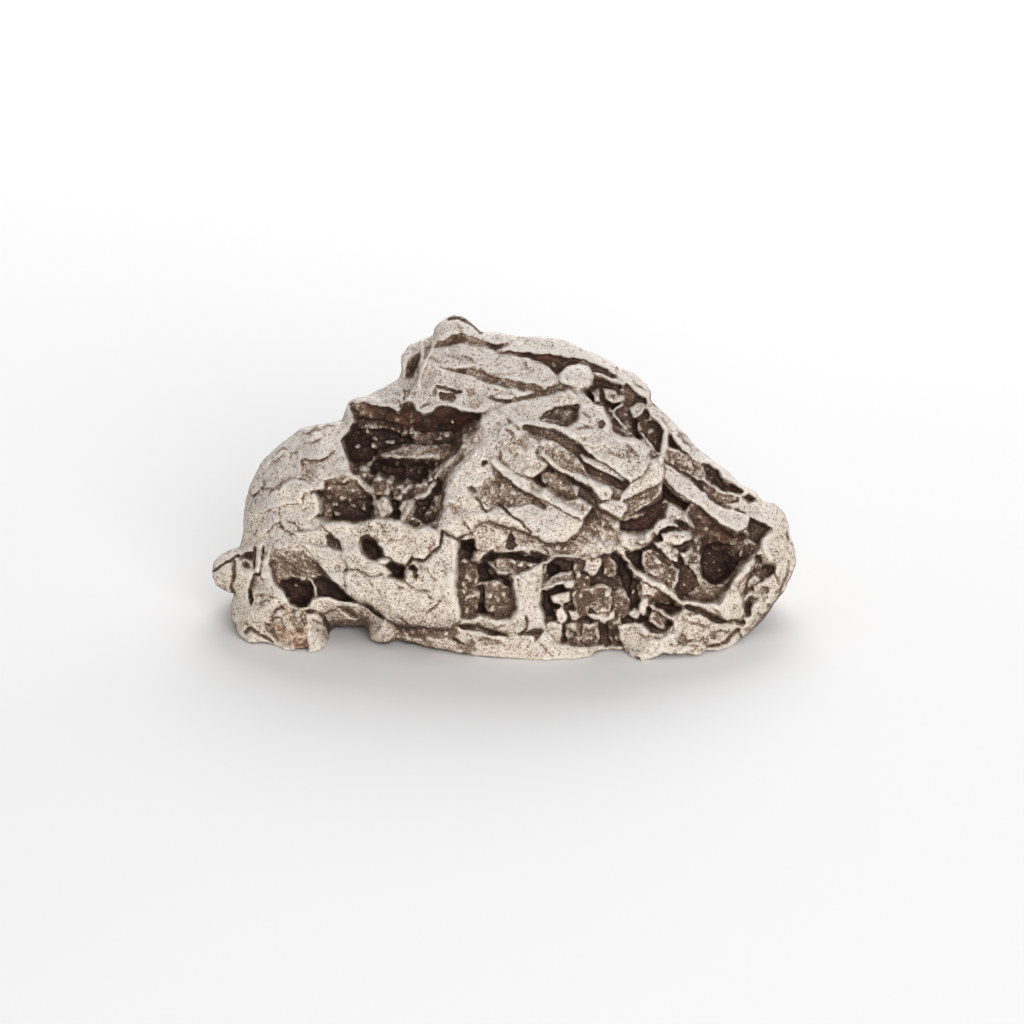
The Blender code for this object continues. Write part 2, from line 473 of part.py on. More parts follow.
def core_mesh():
    """Rings of the outline that shrink to the middle, in front and behind, bridged to one shell."""
    bm = bmesh.new()
    middle = across_up(CORE_MIDDLE)
    edge = [across_up(point) for point in OUTLINE]

    def ring(scale, out_of):
        loop = []
        for across, up in edge:
            a = middle[0] + (across - middle[0]) * scale
            u = middle[1] + (up - middle[1]) * scale
            inset = (1.0 - scale) * math.hypot(across - middle[0], up - middle[1]) * 0.8
            loop.append(bm.verts.new(on_lump(a, u, out_of(a, u, inset))))
        return loop

    def skin(out_of, rim):
        loops = [rim] + [ring(scale, out_of) for scale in RINGS[1:]]
        for outer, inner in zip(loops, loops[1:]):
            for i in range(len(outer)):
                j = (i + 1) % len(outer)
                bm.faces.new((outer[i], outer[j], inner[j], inner[i]))
        centre = bm.verts.new(on_lump(*middle, out_of(*middle, 99.0)))
        last = loops[-1]
        for i in range(len(last)):
            bm.faces.new((last[i], last[(i + 1) % len(last)], centre))

    rim = ring(1.0, lambda a, u, inset: rim_out(u))
    skin(front_out, rim)
    skin(back_out, rim)
    return finish_mesh("core", bm)


def slab(bm, shape, cutter, behind):
    """A prism on a chart outline: its face follows the core, raised by height and tilted.

    A plate runs from its face into the core.  A cutter runs from its face out of the lump, and
    leaves a wall of the core on the other side.
    """
    height, slope_right, slope_up, outline = shape
    places = [across_up(point) for point in outline]
    mid_a = sum(p[0] for p in places) / len(places)
    mid_u = sum(p[1] for p in places) / len(places)
    side = -1.0 if behind else 1.0
    face_loop = []
    end_loop = []
    for across, up in places:
        inset = inset_of(across, up)
        front = front_out(across, up, inset)
        back = back_out(across, up, inset)
        own, other = (back, front) if behind else (front, back)
        rise = height + slope_right * (across - mid_a) + slope_up * (up - mid_u)
        room = side * (own - other)
        if cutter:
            rise = max(rise, WALL - room)
            end = side * CUT_TOP
        else:
            end = own + side * max(rise - PLATE_ROOT, min(0.2 - room, rise - 0.3))
        face_loop.append(bm.verts.new(on_lump(across, up, own + side * rise)))
        end_loop.append(bm.verts.new(on_lump(across, up, end)))
    count = len(places)
    for i in range(count):
        j = (i + 1) % count
        bm.faces.new((face_loop[i], face_loop[j], end_loop[j], end_loop[i]))
    faces = [bm.faces.new(face_loop), bm.faces.new(end_loop)]
    bmesh.ops.triangulate(bm, faces=faces)


def slabs(name, shapes, cutter, behind=False):
    bm = bmesh.new()
    for shape in shapes.values():
        slab(bm, shape, cutter, behind)
    return as_cutter(fused(add_object(name, finish_mesh(name, bm))))


def balls(name, shapes, side):
    """Balls that reach through the back's surface: from outside (side 1) or from inside (-1)."""
    bm = bmesh.new()
    step = 0.3
    for across, up, radius, reach in shapes:
        def skin(a, u):
            return on_lump(a, u, back_out(a, u, inset_of(a, u)))
        place = skin(across, up)
        along = skin(across + step, up) - skin(across - step, up)
        above = skin(across, up + step) - skin(across, up - step)
        outward = above.cross(along).normalized()
        centre = place + outward * side * (radius - reach) * MM
        at = Matrix.Translation(centre)
        bmesh.ops.create_icosphere(bm, subdivisions=4, radius=radius * MM, matrix=at)
    return as_cutter(fused(add_object(name, finish_mesh(name, bm))))


def ground_block():
    """A block whose top is the plane that the lump rests on."""
    bm = bmesh.new()
    size = Matrix.Diagonal((80 * MM, 80 * MM, 20 * MM, 1.0))
    bmesh.ops.create_cube(bm, size=1.0, matrix=Matrix.Translation((0, 0, -10 * MM)) @ size)
    return as_cutter(add_object("ground_block", finish_mesh("ground_block", bm)))


def boolean(target, operand, operation, solver="MANIFOLD"):
    step = target.modifiers.new(operand.name, "BOOLEAN")
    step.operation = operation
    step.solver = solver
    step.object = operand


def keep_main_body(obj):
    """Apply the modifiers, then drop the crumbs that the cutters left loose."""
    depsgraph = bpy.context.evaluated_depsgraph_get()
    mesh = bpy.data.meshes.new_from_object(obj.evaluated_get(depsgraph))
    obj.modifiers.clear()
    bm = bmesh.new()
    bm.from_mesh(mesh)
    left = set(bm.verts)
    bodies = []
    while left:
        body = set()
        edge = [left.pop()]
        while edge:
            vert = edge.pop()
            body.add(vert)
            for link in vert.link_edges:
                other = link.other_vert(vert)
                if other in left:
                    left.remove(other)
                    edge.append(other)
        bodies.append(body)
    bodies.sort(key=len)
    for body in bodies[:-1]:
        bmesh.ops.delete(bm, geom=list(body), context="VERTS")
    bm.to_mesh(mesh)
    bm.free()
    obj.data = mesh


def iron():
    material = bpy.data.materials.new("iron")
    material.use_nodes = True
    shader = material.node_tree.nodes["Principled BSDF"]
    shader.inputs["Base Color"].default_value = BODY_COLOUR
    shader.inputs["Roughness"].default_value = 0.55
    shader.inputs["Metallic"].default_value = 0.6
    return material


def meteorite():
    lump = fused(add_object("meteorite", core_mesh()))
    boolean(lump, balls("swells", SWELLS, -1), "UNION")
    boolean(lump, balls("thumbprints", THUMBPRINTS, 1), "DIFFERENCE")
    boolean(lump, slabs("back_plates", BACK_PLATES, False, True), "UNION")
    boolean(lump, slabs("back_hollows", BACK_HOLLOWS, True, True), "DIFFERENCE")
    boolean(lump, slabs("masses", MASSES, False), "UNION")
    boolean(lump, slabs("hollows", HOLLOWS, True), "DIFFERENCE")
    boolean(lump, slabs("ledges", LEDGES, False), "UNION")
    boolean(lump, slabs("holes", HOLES, True), "DIFFERENCE")
    fused(lump)
    keep_main_body(lump)
    lump.data.materials.clear()
    lump.data.materials.append(iron())
    thin = lump.modifiers.new("thin", "DECIMATE")
    thin.ratio = FACES / (2.0 * len(lump.data.polygons))
    boolean(lump, ground_block(), "DIFFERENCE", "EXACT")
    return lump


for old in list(bpy.data.objects):
    bpy.data.objects.remove(old, do_unlink=True)
meteorite()
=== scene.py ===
"""Looks of a small iron meteorite: torn plates, bars, blades and deep hollows in bright worn iron.

The lump is worked out as a field on a fine grid of cells and skinned, because its caves run in
under their ledges, which a surface of two parameters can't do.  Lengths are millimetres until
the last step, which goes to metres.
"""
import math

import bpy
import numpy as np
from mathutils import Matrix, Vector


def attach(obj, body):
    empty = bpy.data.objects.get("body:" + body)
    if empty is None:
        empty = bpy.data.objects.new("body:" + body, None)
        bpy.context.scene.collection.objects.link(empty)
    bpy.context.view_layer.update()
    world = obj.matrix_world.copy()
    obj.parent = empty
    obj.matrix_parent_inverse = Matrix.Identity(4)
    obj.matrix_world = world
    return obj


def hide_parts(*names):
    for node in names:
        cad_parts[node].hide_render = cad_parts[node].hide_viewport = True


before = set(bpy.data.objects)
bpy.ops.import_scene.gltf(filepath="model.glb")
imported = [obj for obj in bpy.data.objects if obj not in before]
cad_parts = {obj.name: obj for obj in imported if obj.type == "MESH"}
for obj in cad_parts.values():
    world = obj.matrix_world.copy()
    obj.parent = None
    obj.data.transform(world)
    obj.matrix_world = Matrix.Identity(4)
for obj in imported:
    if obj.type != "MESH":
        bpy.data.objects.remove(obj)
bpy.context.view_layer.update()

# ---------------------------------------------------------------- the chart and the core
# The front is laid out on a chart, a plain drawing of the front face seen from 20 degrees above:
# x runs right, y runs down, and one step is a sixteenth of a millimetre.  A place on the lump is
# (across, up, out): across and up lie in the chart, out points at the viewer.
MM = 0.001
CHART_STEP = 0.0625
CHART_FOOT = (504, 616)             # where across and up are 0
CHART_TILT = math.radians(20)
CHART_LEFT, CHART_RIGHT, CHART_TOP, CHART_BOTTOM = 196, 812, 300, 680
FRAME_SHIFT = (-0.02, -2.89, 0.6)   # where that foot lies in the frame

# The core: how far it reaches out, how it leans and tapers, and how wide it is rounded to the
# rim; how far out the rim lies, and how fast it comes out below the foot.
FRONT_REACH, FRONT_LEAN, FRONT_TAPER, FRONT_ROUND = 6.9, 0.0145, 0.011, 3.2
BACK_REACH, BACK_LEAN, BACK_TAPER, BACK_ROUND = 12.2, 0.045, 0.008, 7.0
RIM_OUT, RIM_FOOT = 0.8, 2.2
LEAST_BACK = 1.0
WALL = 1.3                          # least thickness that a hollow leaves
WALL_FALL = 1.6                     # how far a wall of steepness 1 falls in 1 mm
EDGE_SHARE = 0.6                    # share of a plate's edge that is rounded
BACK_TORN = 2.6                     # outlines at the back stray this much more

# Wear: flakes and dents, and how they lie on the left dome, along the foot and elsewhere.
WORN_PLACES = 420
DOME_RIGHT, DOME_LOW, FOOT_TOP = 345, 545, 610
DOME_LIE, FOOT_LIE, GRAIN_LIE = -0.55, 0.1, 0.55
BROKEN_BLOCKS = ((15, 0.30, 0.26), (7, 0.15, 0.2))  # chart steps across, lift, shade

# The cells: their size, the grid's low and high corner, and how far outlines drift with depth,
# as (chart steps, mm from wave to wave).
CELL = 0.092
LOW, HIGH = np.array((-18.9, -3.0, -11.6)), np.array((18.9, 19.4, 9.2))
DRIFT_WAVES = ((0.9, 1.3), (0.6, 0.5))
KEPT_TRIANGLES = 196000
THIN_PLAIN = 0.006                  # how strongly plain places are thinned before the others
# Metres: the lump's height, how far its foot is lowered onto the floor, and the gap left there.
LUMP_HEIGHT, SETTLE, FLOOR_GAP = 0.0186, 0.00015, 0.00001


def corners(text):
    """Places on the chart, written "x,y x,y"."""
    return [tuple(int(n) for n in place.split(",")) for place in text.split()]


def plate(outline, height, edge, grime_and_shade, wall=4, slope=(0, 0), rough=0, rust=0):
    """A plate: its outline, how high it stands over the core's face, how wide its edge is
    rounded, its dirt, how steep its wall falls, how it slopes to the right and upwards, and
    how broken and how rusty it is."""
    return "slab", corners(outline), height, grime_and_shade, wall, slope, rough, rust, edge


def pit(outline, height, grime_and_shade, wall=3, slope=(0, 0), rough=0, rust=0):
    """A hollow: as a plate, but its floor is cut in and has no rounded edge."""
    return "slab", corners(outline), height, grime_and_shade, wall, slope, rough, rust


def rib(path, half_width, height, grime_and_shade):
    """A raised rib along a path."""
    return "line", corners(path), half_width, height, grime_and_shade


def cut(path, half_width, depth, grime_and_shade):
    """A crack along a path."""
    return "line", corners(path), half_width, -depth, grime_and_shade


def flake(path, reach, height, grime_and_shade):
    """The lifted edge of a flake, on the left of its path and fading over reach mm."""
    return "flake", corners(path), reach, height, grime_and_shade


# The rim of the whole lump, round from its left end.
OUTLINE = (
    "212,570 214,560 222,552 240,545 243,535 244,515 246,500 252,480 262,462 275,448 290,436 "
    "303,426 322,424 342,420 348,402 356,397 366,396 380,389 398,378 401,370 401,355 408,346 "
    "420,340 432,336 436,327 444,319 452,316 463,317 472,323 482,332 500,333 524,337 545,338 "
    "565,341 585,350 610,361 632,373 645,383 651,392 650,400 665,413 680,428 700,450 718,464 "
    "732,475 740,484 755,490 763,500 775,503 785,513 790,528 790,535 795,548 796,560 792,572 "
    "785,588 774,602 763,617 748,630 735,640 715,652 690,661 665,663 640,660 628,652 622,646 "
    "610,646 600,648 588,654 570,658 545,659 510,656 480,653 450,648 420,642 398,637 390,640 "
    "380,641 372,637 368,628 365,625 350,624 335,625 330,630 329,640 324,647 315,651 300,650 "
    "288,648 278,643 268,640 250,639 240,632 233,620 231,605 235,592 228,590 216,583")

# The front, from the big plates to the last cracks: later ones lie on earlier ones.
FRONT = {
    "cheek": plate("300,540 345,548 352,560 350,572 345,584 330,575 322,563 312,551",
        0.35, 0.3, 0.12),
    "panel": plate("322,520 360,522 375,518 400,520 415,527 430,524 441,530 457,537 459,545 "
        "457,580 459,605 461,617 450,625 430,624 398,621 385,614 372,604 360,599 350,590 346,575 "
        "350,568 344,555 343,540 330,530", 0.9, 0.5, 0.06, slope=(0.03, 0)),
    "panel_top": plate("360,525 375,518 400,520 415,527 430,524 441,530 440,545 432,553 425,557 "
        "413,556 408,561 395,559 386,555 384,545 378,540 365,536",
        1.12, 0.25, 0.06, slope=(0.03, 0)),
    "roof_plate": plate("432,350 440,347 460,344 490,350 505,352 530,360 548,368 560,378 556,386 "
        "538,394 520,398 505,404 482,414 462,410 455,407 444,405 437,407 431,413 424,415 418,411 "
        "415,404 408,402 405,404 412,392 418,380 421,368", 0.5, 0.3, 0.16, slope=(0, -0.05)),
    "eave": plate("350,401 356,398 366,397 378,400 395,394 405,392 406,404 400,413 394,409 "
        "385,407 365,403", 0.4, 0.25, 0.1),
    "mid_ridge": plate("482,440 481,420 490,410 505,404 530,400 550,394 568,389 577,387 583,395 "
        "592,404 577,407 555,409 545,413 537,420 525,424 508,428 498,436",
        1, 0.7, 0.05, slope=(0.02, -0.05)),
    "shoulder": plate("482,415 500,432 505,440 503,455 495,467 520,482 540,495 560,505 580,512 "
        "583,520 574,533 565,540 545,541 530,532 505,524 489,520 478,524 470,533 457,537 443,532 "
        "436,530 441,520 444,510 445,490 450,475 460,462 470,452 481,440",
        1.05, 0.9, 0.06, slope=(0.02, 0.02)),
    "block": plate("503,440 525,425 560,437 600,458 630,480 640,470 660,465 661,480 659,490 "
        "640,502 630,510 617,517 605,507 590,490 570,478 545,465 535,472 520,478 505,468 500,455",
        1.15, 0.3, 0.42),
    "bar_wall": pit("582,461 594,463 606,470 618,478 627,485 625,493 618,491 610,485 600,477 "
        "590,475 582,471", 0.75, 0.53, rough=0.5, rust=0.25),
    "block_end": plate("626,484 636,479 646,471 650,461 659,459 661,470 659,484 657,495 650,505 "
        "636,512 622,519 612,512 618,500", 1.45, 0.2, 0.14, slope=(-0.05, 0.1), rough=0.3),
    "block_low": pit("610,505 616,502 624,499 634,494 646,489 661,482 661,495 652,508 636,516 "
        "622,523 608,516", 0.72, 0.59, wall=4.5, slope=(-0.05, 0.45), rough=0.5),
    "low_line1": cut("618,508 632,503 645,498 655,492", 0.07, 0.12, 0.6),
    "low_line2": cut("622,514 636,507 650,501", 0.07, 0.12, 0.6),
    "block_top": plate("627,484 636,479 646,471 650,462 659,461 660,472 658,482 645,486 632,493 "
        "626,492", 1.6, 0.15, 0.1, slope=(-0.05, 0.1)),
    "bar_b": plate("503,442 510,437 528,435 536,440 539,446 534,451 538,459 546,465 544,471 "
        "530,477 520,473 510,467 503,459 500,450", 1.4, 0.12, 0.14, rough=0.5),
    "bar_b2": plate("536,443 544,438 556,443 566,450 576,457 582,464 586,472 596,479 590,483 "
        "578,478 566,473 556,470 546,463 539,455", 1.4, 0.1, 0.3, rough=0.7),
    "ridge_foot": plate("497,437 503,428 514,423 526,423 530,431 520,437 508,442 500,443",
        1.3, 0.2, 0.1),
    "channel": pit("534,474 546,466 556,471 572,477 590,488 600,494 612,500 602,505 606,512 "
        "618,518 606,518 592,508 590,505 578,497 565,498 550,491", 0.3, 0.66, rough=0.4),
    "channel_plate": plate("540,472 554,472 566,478 578,487 576,497 568,500 556,493 546,484 "
        "538,478", 0.8, 0.15, 0.55, rough=0.5),
    "bar_d": plate("540,454 546,462 556,470 570,476 582,482 590,487 600,494 608,499 612,493 "
        "608,487 598,481 590,477 578,473 566,470 556,464 548,456", 1.62, 0.2, 0.06),
    "nose": plate("590,480 598,480 608,486 613,493 609,499 600,499 592,492", 1.75, 0.3, 0.05),
    "bar_d_tip": plate("600,502 610,499 618,501 626,504 625,510 618,517 610,512 602,507",
        1.4, 0.15, 0.08, slope=(0, 0.1)),
    "sunk_facet": pit("466,486 478,486 488,476 494,468 508,478 530,493 548,505 546,509 530,505 "
        "514,507 508,508 500,505 486,506 478,503 472,495", 0.8, 0.46, wall=2.25, rough=0.55),
    "bar_groove": pit("522,426 535,421 552,424 566,429 578,438 590,452 606,464 622,476 629,483 "
        "626,488 615,481 600,473 588,467 579,460 570,452 560,445 548,439 534,435 524,431",
        0.9, 0.51, wall=6, rust=0.1),
    "top_bar": plate("523,424 535,420 552,423 566,427 577,422 578,412 580,406 590,405 600,409 "
        "606,419 609,432 622,440 636,443 645,450 647,459 646,467 640,475 630,482 622,476 614,470 "
        "602,462 590,454 582,448 570,438 556,431 540,428", 1.95, 0.45, 0.08, slope=(0, -0.12)),
    "ledge_thin": plate("580,454 600,461 615,470 628,479 620,480 600,469 583,461",
        1.55, 0.15, 0.15),
    "bar_c": plate("490,459 495,457 510,468 522,476 536,484 550,492 564,502 573,507 583,514 "
        "580,518 566,511 550,503 536,496 520,487 506,475 494,466", 1.62, 0.18, 0.05),
    "after_c": plate("563,500 578,499 590,505 588,510 583,516 574,508",
        1.35, 0.15, 0.25, rough=0.5),
    "lobe_crack": cut("500,505 510,513 520,520 530,530", 0.12, 0.25, 0.8),
    "shoulder_crack": cut("472,486 480,503 486,511 496,505 503,506 512,514", 0.1, 0.2, 0.8),
    "panel_crack": cut("443,531 441,545 432,553 425,558 413,556 408,562", 0.14, 0.35, 0.8),
    "panel_crack2": cut("443,531 457,537", 0.08, 0.2, 0.8),
    "pock": pit("482,459 488,459 488,463 481,467 480,463", 0.5, 0.64),
    "hollow_all": pit("349,402 365,403 385,407 394,409 400,413 405,404 410,402 415,404 418,411 "
        "424,415 431,413 437,407 444,405 455,407 462,410 482,414 480,437 470,450 460,462 450,475 "
        "445,490 444,505 440,520 428,524 414,518 402,519 385,518 378,505 374,495 366,484 352,473 "
        "344,450 342,437 350,428 354,420 351,412",
        -1.3, 0.64, wall=3.75, slope=(0, 0.1), rough=0.6),
    "hollow_roof": pit("349,402 365,403 385,407 394,409 400,413 405,404 410,402 415,404 418,411 "
        "424,415 431,413 437,407 444,405 455,407 462,410 482,414 480,437 465,446 452,456 440,468 "
        "428,482 412,486 396,482 380,478 362,472 352,464 344,450 342,437 350,428 354,420 351,412",
        -3, 0.68, wall=3.75, slope=(0, 0.1), rough=0.4, rust=0.1),
    "ceiling": plate("351,403 366,404 386,408 396,411 405,406 411,404 418,412 425,416 432,413 "
        "438,408 456,408 482,415 481,424 470,430 450,428 430,431 412,430 398,424 380,418 362,416 "
        "352,420", -1.5, 0.12, 0.62, slope=(0, 1.9), rough=0.1, rust=0.45),
    "back_wall": plate("404,427 425,433 450,430 478,428 476,440 455,445 435,447 412,447 402,440",
        -2.5, 0.15, 0.6, slope=(0, 0.3), rough=0.6),
    "hollow_left": pit("346,440 352,428 368,427 385,428 402,432 414,434 416,444 404,450 408,462 "
        "404,476 390,478 375,475 358,468 350,460", -3.7, 0.87, rough=0.3),
    "hollow_low": pit("392,462 430,461 438,470 424,482 410,482 398,476", -3.4, 0.83, rough=0.3),
    "right_wall": plate("466,440 474,434 481,429 481,438 472,450 462,462 452,475 447,490 446,505 "
        "441,520 430,522 420,520 418,508 428,495 424,484 434,470 448,458 460,452",
        -0.85, 0.3, 0.26, wall=1.2, slope=(0.8, 0.1), rough=0.15),
    "wall_foot": plate("436,496 446,490 447,505 443,520 430,523 422,519 428,511 435,503",
        -0.75, 0.2, 0.42, wall=2, slope=(0.5, 0), rough=0.5),
    "wall_line1": rib("474,445 462,458 450,472 443,486", 0.09, 0.13, 0.1),
    "wall_line2": rib("466,444 452,458 440,471 431,486", 0.09, 0.13, 0.15),
    "wall_line3": rib("478,449 467,462 456,476 449,492", 0.1, 0.13, 0.06),
    "shelf": plate("382,454 394,449 412,445 425,446 440,445 458,442 474,440 470,450 458,456 "
        "440,458 428,457 410,459 396,458", -1.5, 0.12, 0.52, wall=3, slope=(0, -0.5), rough=0.45),
    "lower_pit": pit("326,479 345,474 358,478 368,488 376,494 380,505 378,517 360,522 350,522 "
        "330,521 322,518 313,516 321,509 320,500 313,490 325,487",
        -1.7, 0.64, wall=3.75, slope=(0, 0.1), rough=0.4),
    "pit_slab": plate("322,478 345,472 360,476 372,488 377,496 366,498 350,500 336,500 322,493",
        -0.8, 0.12, 0.48, slope=(0.1, 1), rough=0.3),
    "pit_floor_r": pit("360,500 376,498 380,508 376,518 362,521", -1.2, 0.66),
    "crystal1": plate("373,484 380,475 392,479 395,488 388,495 377,494",
        -0.6, 0.15, 0.46, slope=(0.1, -0.2), rough=0.25),
    "crystal2": plate("376,510 379,500 384,495 390,500 393,508 390,515 383,519 376,517",
        -0.2, 0.25, 0.15, slope=(0, -0.1)),
    "crystal3": plate("394,490 402,484 411,483 410,492 402,499 394,498", -0.5, 0.15, 0.3, rough=1),
    "crystal4": plate("361,466 368,465 370,474 366,480 361,472", -1.1, 0.2, 0.15),
    "splinter1": plate("366,482 372,484 377,493 370,491", -0.4, 0.12, 0.12),
    "splinter2": plate("404,500 412,500 420,506 414,512 408,520 402,518 400,508",
        -0.1, 0.2, 0.15, slope=(0.05, 0)),
    "hole_a": pit("413,506 420,499 430,497 434,502 430,509 422,513 415,512", -2, 0.86),
    "hole_b": pit("431,482 438,478 444,481 443,491 438,497 432,494", -1.8, 0.86),
    "ridge_low": rib("434,484 429,492 418,497 410,506 404,518", 0.22, 0.45, 0.1),
    "hole_c": pit("408,520 414,514 422,516 422,523 415,527", -0.4, 0.53),
    "hole_d": pit("392,513 400,512 401,521 394,519", -0.8, 0.69),
    "lip": rib("405,404 410,402 415,404 418,411 424,415 431,413 437,407 444,405 456,407",
        0.16, 0.2, 0.03),
    "pit_tri": pit("327,534 332,533 342,540 344,550 333,549 328,541", -0.3, 0.51, slope=(0, -0.8)),
    "pit_oval": pit("360,543 362,535 370,533 380,538 386,547 386,556 378,561 370,560 362,552",
        -0.9, 0.5, slope=(0, -0.9)),
    "pit_hex": pit("386,562 389,560 398,560 409,563 407,572 406,581 395,577 386,574 390,571 "
        "384,564", -0.8, 0.59, slope=(-0.3, -0.8)),
    "pit_small": pit("408,563 414,561 419,567 418,578 414,577 413,570 407,567", -0.1, 0.64),
    "panel_line1": cut("346,569 360,567 372,574 384,572", 0.12, 0.18, 0.5),
    "panel_line2": cut("406,580 415,586 430,589", 0.12, 0.2, 0.4),
    "panel_line3": cut("425,588 432,596 440,599", 0.08, 0.12, 0.3),
    "left_pit": pit("273,545 282,541 292,541 303,546 317,559 333,575 346,586 360,601 345,600 "
        "325,595 317,598 310,604 302,606 290,602 284,592 276,580 270,562",
        -0.9, 0.5, wall=3.75, slope=(0.05, 0.5), rough=0.2),
    "pit_line1": cut("276,553 290,562 305,569 322,574", 0.08, 0.14, 0.6),
    "pit_line2": cut("274,560 286,567 300,572 314,575", 0.08, 0.14, 0.6),
    "pit_line3": cut("284,547 300,556 314,564 326,572", 0.08, 0.14, 0.6),
    "left_pit_deep": pit("283,577 294,574 304,578 314,577 317,584 316,596 311,605 303,607 293,603 "
        "287,595 282,585", -2.4, 0.77, wall=2.25, slope=(0, 0.6), rough=0.2, rust=0.15),
    "left_pit_shade": pit("312,577 324,572 336,579 347,588 358,600 345,599 330,595 318,594",
        -1.7, 0.66, wall=2.25, rough=0.2),
    "pit_lip": rib("314,579 317,585 318,592 315,597", 0.1, 0.3, 0.06),
    "left_step": plate("313,601 322,594 340,597 352,601 364,610 366,622 350,623 330,620 318,612",
        -0.6, 0.15, 0.35, slope=(0, -0.1), rough=0.3),
    "left_step_stain": pit("335,604 350,604 360,612 362,618 350,614", -0.7, 0.41, rough=0.4),
    "block_crack1": cut("262,572 255,573 252,588 251,595", 0.12, 0.4, 0.55),
    "block_slot": pit("249,590 254,588 256,600 253,605 249,601", -0.7, 0.69),
    "block_crack2": cut("274,617 279,606 284,604 288,607", 0.1, 0.3, 0.8),
    "block_crack3": cut("270,622 275,630 280,637", 0.18, 0.3, 0.5),
    "block_crack4": cut("310,608 322,612 328,622 329,630", 0.2, 0.6, 0.8),
    "stain": pit("272,608 282,602 296,600 307,607 312,622 306,640 296,646 280,640 270,626",
        -0.08, 0.2, wall=1.5, rough=0.6, rust=0.9),
    "stain_dark": pit("291,604 300,600 309,607 309,620 304,632 297,630 292,617",
        -0.2, 0.53, wall=2.25, rough=0.6, rust=0.4),
    "stain_low": pit("296,637 302,640 309,634 310,646 302,649 296,645",
        -0.2, 0.55, wall=2.25, rough=0.4, rust=0.9),
    "stain_left": pit("268,621 273,619 277,628 272,633 267,628", -0.12, 0.46, wall=2.25, rough=0.5),
    "stain_chip": plate("311,612 316,609 322,612 323,618 314,626 309,622", 0.12, 0.15, 0.05),
    "tooth": rib("260,544 261,556 260,567", 0.25, 0.35, 0.06),
    "tooth_l": cut("256,545 257,556 256,566", 0.1, 0.4, 0.8),
    "tooth_r": cut("265,545 264,560 262,570", 0.1, 0.32, 0.8),
    "knob_gap": pit("232,560 240,554 250,549 256,548 256,560 246,557 238,557", -0.6, 0.6),
    "knob_crack": cut("215,569 224,562 232,558 240,554", 0.12, 0.42, 0.8),
    "knob_right": cut("235,592 233,584 236,572 235,560", 0.16, 0.45, 0.4),
    "knob_dent": pit("242,562 249,560 254,566 246,567", -0.3, 0.46),
    "foot_scale": plate("240,618 248,615 256,625 270,637 258,637 246,630", 0.15, 0.15, 0.3),
    "foot_line": cut("247,630 253,626 262,633 275,640", 0.14, 0.3, 0.8),
    "gap1": pit("362,600 372,604 380,609 387,614 384,618 376,614 368,607", -0.5, 0.74),
    "knob_low": plate("370,623 380,619 392,620 398,625 396,634 385,640 374,636", 0.25, 0.3, 0.1),
    "band": pit("399,622 430,625 455,626 462,630 452,637 430,636 400,634", -0.15, 0.39, rough=0.3),
    "gap2": pit("452,625 462,621 480,620 492,624 508,630 511,634 495,633 482,629 465,627",
        -1, 0.83),
    "dent_red": pit("450,634 458,634 467,641 458,642", -0.35, 0.55, rust=0.4),
    "dents_low": pit("482,634 495,633 503,640 496,643 486,640", -0.1, 0.37, rough=0.5),
    "cave_mid": pit("460,538 476,536 490,548 515,550 545,553 541,562 512,576 516,590 516,605 "
        "512,615 495,616 480,613 470,618 462,617 459,605 458,580 459,555", -1.6, 0.66, wall=3.75),
    "cave_dark1": pit("472,556 485,560 492,572 507,578 506,583 490,582 478,580 470,568",
        -2.2, 0.78),
    "cave_dark2": pit("470,596 480,594 484,604 495,612 480,612 470,606", -2.2, 0.78),
    "cave_floor": plate("484,581 495,577 507,582 516,589 518,600 517,612 508,615 492,615 484,604",
        -0.9, 0.12, 0.56, slope=(0.15, 0), rough=0.5),
    "cave_wall": plate("458,545 468,550 477,564 479,600 474,616 462,617 459,605 457,580",
        -0.75, 0.1, 0.6, slope=(-0.5, 0), rough=0.4),
    "brow": plate("460,539 470,531 478,523 490,521 502,526 508,534 500,543 488,550 480,560 "
        "472,558 478,547 472,540", 0.35, 0.2, 0.2, slope=(0, 0.05), rough=0.2),
    "brow_hole": pit("462,540 475,536 477,542 468,547", -0.5, 0.61),
    "notch": pit("507,534 511,529 518,537 520,542 512,549 505,546", -0.4, 0.63),
    "slot_dark": pit("504,549 520,548 538,550 551,553 546,560 535,562 520,557 507,556", -0.7, 0.59),
    "under_lobe": plate("516,537 540,540 553,547 551,555 536,553 518,550",
        -0.25, 0.12, 0.6, slope=(0, 0.6)),
    "crystal5": plate("491,562 500,553 515,557 540,562 537,574 525,579 515,572 500,571",
        -0.45, 0.12, 0.56, slope=(0, -0.15), rough=0.8),
    "crystal5_rim": rib("490,560 494,568 505,573 515,574 525,580", 0.18, 0.3, 0.04),
    "t_block": plate("512,576 520,580 535,580 538,592 540,603 545,612 544,624 530,627 520,630 "
        "500,626 482,618 490,615 512,617 517,605 516,590", 0.2, 0.3, 0.05, slope=(0, 0.02)),
    "t_crack": cut("526,614 529,620 527,626 519,631", 0.12, 0.35, 0.8),
    "t_gap": pit("519,631 530,627 546,625 541,633 536,640 533,634", -0.4, 0.64),
    "rubble": pit("541,562 550,554 575,557 600,553 616,548 630,560 642,580 640,600 645,622 "
        "620,643 600,645 575,643 556,640 545,625 541,600 540,585", -1.1, 0.72, rough=0.35),
    "hole_e": pit("546,565 553,560 560,563 560,572 548,576", -1.9, 0.85),
    "curl": rib("544,570 547,560 556,554 570,554", 0.1, 0.45, 0.05),
    "chip1": plate("540,585 548,577 558,570 572,568 572,576 558,582 546,588",
        -0.4, 0.1, 0.55, slope=(0, -0.3), rough=0.4),
    "chip1_lip": rib("541,587 551,584 562,579", 0.13, 0.22, 0.05),
    "chip2": plate("563,579 573,577 573,586 565,585", -0.1, 0.12, 0.08),
    "hole_f": pit("540,588 552,588 560,584 572,588 565,592 552,594 558,603 554,614 548,612 541,603",
        -2, 0.74),
